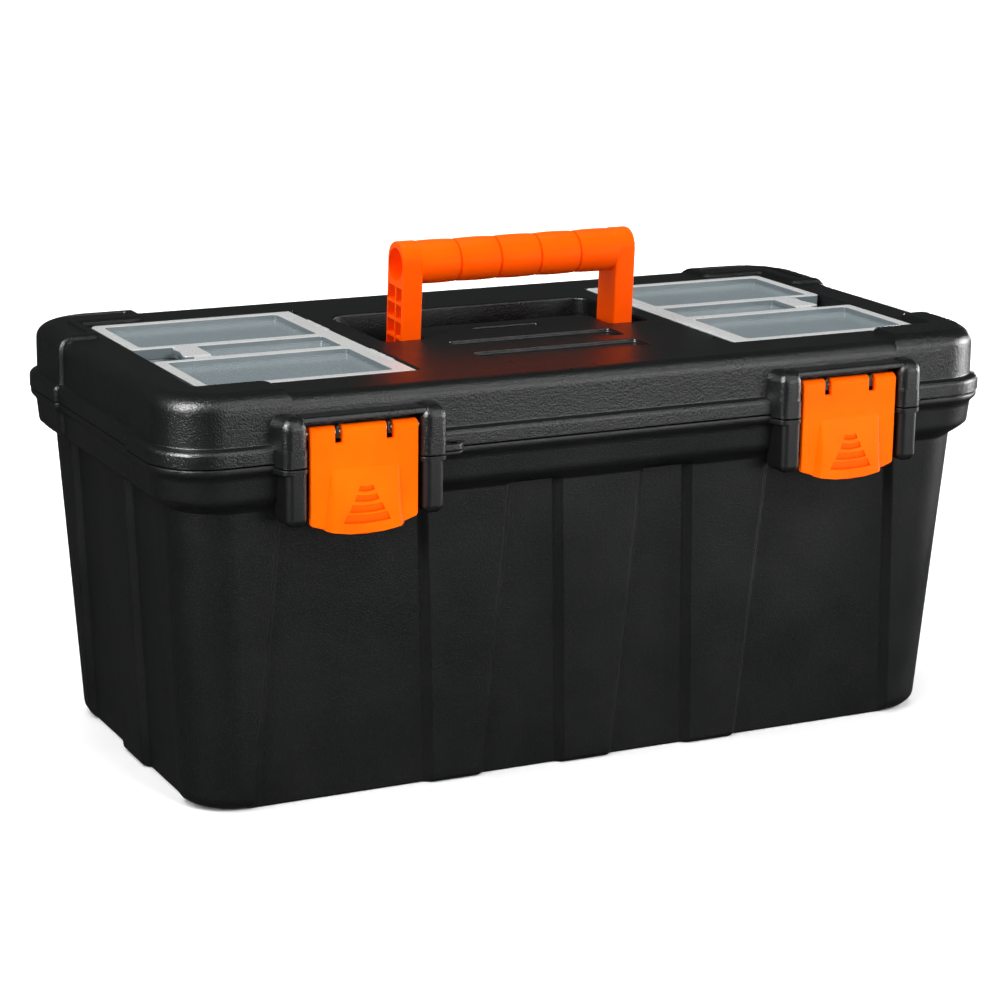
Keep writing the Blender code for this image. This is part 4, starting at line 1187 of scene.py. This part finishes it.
def make_cover(side, word):
    plate = rounded_edges(247 * MM, DECK_Z, 0.2 * MM, 0.8 * MM, 4)
    cover = new_object("cover_" + word, stack(cover_corners(side), plate))
    combine(cover, cover_hollow(side), "DIFFERENCE")
    join(cover, cover_hinge_rod(side))
    join(cover, cover_catch(side))
    for corners in pane_boxes(side):
        cut(cover, stack(corners, sunk(PANE_Z, DECK_Z, 0.5 * MM, 0.5 * MM, 3)))
    join(cover, cover_tongue(side))
    join(cover, cover_hinge_bumps(side))
    lid_name = "organizer_lid_" + word
    finish_piece(cover, lid_name, lid_name, "clear_plastic", COVER_RIM, COVER_PANE)
    colour_panes(cover)


def make_bin(side, word):
    gap = 0.5 * MM
    low, high, edge = ORG_IN + gap, ORG_OUT - gap, ORG_Y - gap
    inner, notch = NOTCH_IN - 2 * MM, NOTCH_Y + gap
    corners = [
        (low, -edge, 3 * MM), (high, -edge, 4 * MM), (high, -notch, 1 * MM), (inner, -notch, 1 * MM),
        (inner, notch, 1 * MM), (high, notch, 1 * MM), (high, edge, 4 * MM), (low, edge, 3 * MM),
    ]
    mirrored = [(side * x, y, radius) for x, y, radius in corners]
    body = rounded_edges(222.3 * MM, BIN_TOP_Z, 1 * MM, 0.3 * MM, 3)
    bay = sunk(223.8 * MM, BIN_TOP_Z, 2 * MM, 0.2 * MM, 3)
    made = new_object("bin_" + word, stack(mirrored, body, steps=5))
    wide = span(side, low + BIN_WALL, high - BIN_WALL)
    middle = span(side, low + BIN_WALL, inner - BIN_WALL)
    bays = [(*wide, *span(s, notch + BIN_WALL, edge - BIN_WALL)) for s in SIDES]
    bays.append((*middle, -notch, notch))
    for sides in bays:
        cut(made, stack(box_corners(*sides, 3 * MM), bay, steps=5))
    finish_piece(made, "lid", "organizer_bin_" + word, "milky_plastic", BIN_MILKY)


# ---- pins

def make_pin(name, cad_node, body, radius):
    low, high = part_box(cad_node)
    wire = rods_x((low.x, high.x, (low + high) / 2, radius, 32, 0.3 * MM))
    finish_piece(new_object(name, wire), body, cad_node, "steel", STEEL)


# ---- studio

def add_softbox(name, where, aim, size, power):
    """A panel that is only seen mirrored in glossy surfaces: the suns light the rest."""
    light = bpy.data.lights.new(name, "AREA")
    light.shape = "RECTANGLE"
    light.size, light.size_y = size
    light.energy = power
    obj = bpy.data.objects.new(name, light)
    obj.location = where
    obj.rotation_euler = (Vector(aim) - Vector(where)).to_track_quat("-Z", "Y").to_euler()
    obj.visible_diffuse = False
    obj.visible_camera = False
    bpy.context.scene.collection.objects.link(obj)


def add_sun(name, towards, strength, degrees):
    """A broad light that surfaces don't mirror."""
    light = bpy.data.lights.new(name, "SUN")
    light.energy = strength
    light.angle = math.radians(degrees)
    obj = bpy.data.objects.new(name, light)
    obj.rotation_euler = Vector(towards).to_track_quat("Z", "Y").to_euler()
    obj.visible_glossy = False
    bpy.context.scene.collection.objects.link(obj)


def make_floor():
    """A pale floor that surfaces don't mirror."""
    bm = bmesh.new()
    bmesh.ops.create_grid(bm, x_segments=1, y_segments=1, size=FLOOR_HALF)
    floor = new_object("floor", bm)
    floor.location.z = FLOOR_Z
    made, _, shader = shader_of("floor_white")
    shader.inputs["Base Color"].default_value = (0.95, 0.95, 0.95, 1)
    shader.inputs["Roughness"].default_value = 0.9
    floor.data.materials.append(made)
    floor.visible_glossy = False


def make_backdrop():
    """A white wall all round the object, far off, which only the camera sees."""
    bm = bmesh.new()
    radii = {"radius1": BACKDROP_RADIUS, "radius2": BACKDROP_RADIUS}
    bmesh.ops.create_cone(bm, cap_ends=False, segments=96, depth=BACKDROP_HEIGHT, **radii)
    wall = new_object("backdrop", bm)
    wall.location.z = BACKDROP_HEIGHT / 2 - 0.1
    made, _, shader = shader_of("backdrop_white")
    shader.inputs["Base Color"].default_value = (0, 0, 0, 1)
    shader.inputs["Specular IOR Level"].default_value = 0.0
    shader.inputs["Emission Color"].default_value = (1, 1, 1, 1)
    shader.inputs["Emission Strength"].default_value = 1.0
    wall.data.materials.append(made)
    wall.visible_diffuse = False
    wall.visible_glossy = False
    wall.visible_transmission = False
    wall.visible_shadow = False


def make_world():
    world = bpy.data.worlds.new("studio")
    bpy.context.scene.world = world
    world.use_nodes = True
    background = world.node_tree.nodes["Background"]
    background.inputs["Color"].default_value = (1, 1, 1, 1)
    background.inputs["Strength"].default_value = WORLD_STRENGTH


def make_lights():
    add_sun("key", (0.45, -1.2, 1.0), 2.6, 25)
    add_sun("overhead", (-0.2, 0.3, 1.6), 3.0, 70)
    add_sun("left_fill", (-1.2, -0.3, 0.8), 2.1, 70)
    add_softbox("front_low", (0.85, -1.81, 0.42), (0, -0.14, 0.12), (1.2, 0.7), 18)
    add_softbox("front_high", (0.33, -1.30, 1.45), (0, -0.14, 0.22), (1.6, 0.35), 13)
    add_softbox("left_high", (-1.20, -0.56, 0.95), (-0.28, -0.10, 0.22), (0.30, 1.00), 62)
    add_softbox("right", (1.60, -0.30, 0.30), (0.10, -0.14, 0.12), (0.6, 0.5), 28)
    add_softbox("back_low", (1.50, 1.45, 0.13), (0.00, 0.14, 0.13), (0.9, 0.22), 26)


def make_camera():
    camera = bpy.data.cameras.new("camera")
    camera.sensor_width = 36
    camera.lens = LENS
    obj = bpy.data.objects.new("camera", camera)
    bpy.context.scene.collection.objects.link(obj)
    azimuth = math.radians(CAMERA_AZIMUTH_DEGREES)
    elevation = math.radians(CAMERA_ELEVATION_DEGREES)
    roll = math.radians(CAMERA_ROLL_DEGREES)
    level = math.cos(elevation)
    back = Vector((math.sin(azimuth) * level, -math.cos(azimuth) * level, math.sin(elevation)))
    right = (-back).cross(Vector((0, 0, 1))).normalized()
    up = right.cross(-back)
    turned_right = math.cos(roll) * right + math.sin(roll) * up
    turned_up = -math.sin(roll) * right + math.cos(roll) * up
    place = Matrix((turned_right, turned_up, back)).transposed().to_4x4()
    place.translation = CAMERA_PLACE
    obj.matrix_world = place
    bpy.context.scene.camera = obj


bpy.context.scene.view_settings.view_transform = "Standard"
make_camera()
make_floor()
make_backdrop()
make_world()
make_lights()
make_tub()
make_tray()
make_lid()
make_handle()
for side_sign, side_word in ((-1, "left"), (1, "right")):
    make_latch(side_sign, side_word)
    make_cover(side_sign, side_word)
    make_bin(side_sign, side_word)
    make_pin("hinge_wire_" + side_word, "hinge_pin_" + side_word, "tub", 2 * MM)
    make_pin("latch_wire_" + side_word, "latch_pin_" + side_word, "lid", 1.5 * MM)
    make_pin("handle_wire_" + side_word, "handle_pin_" + side_word, "lid", 3 * MM)
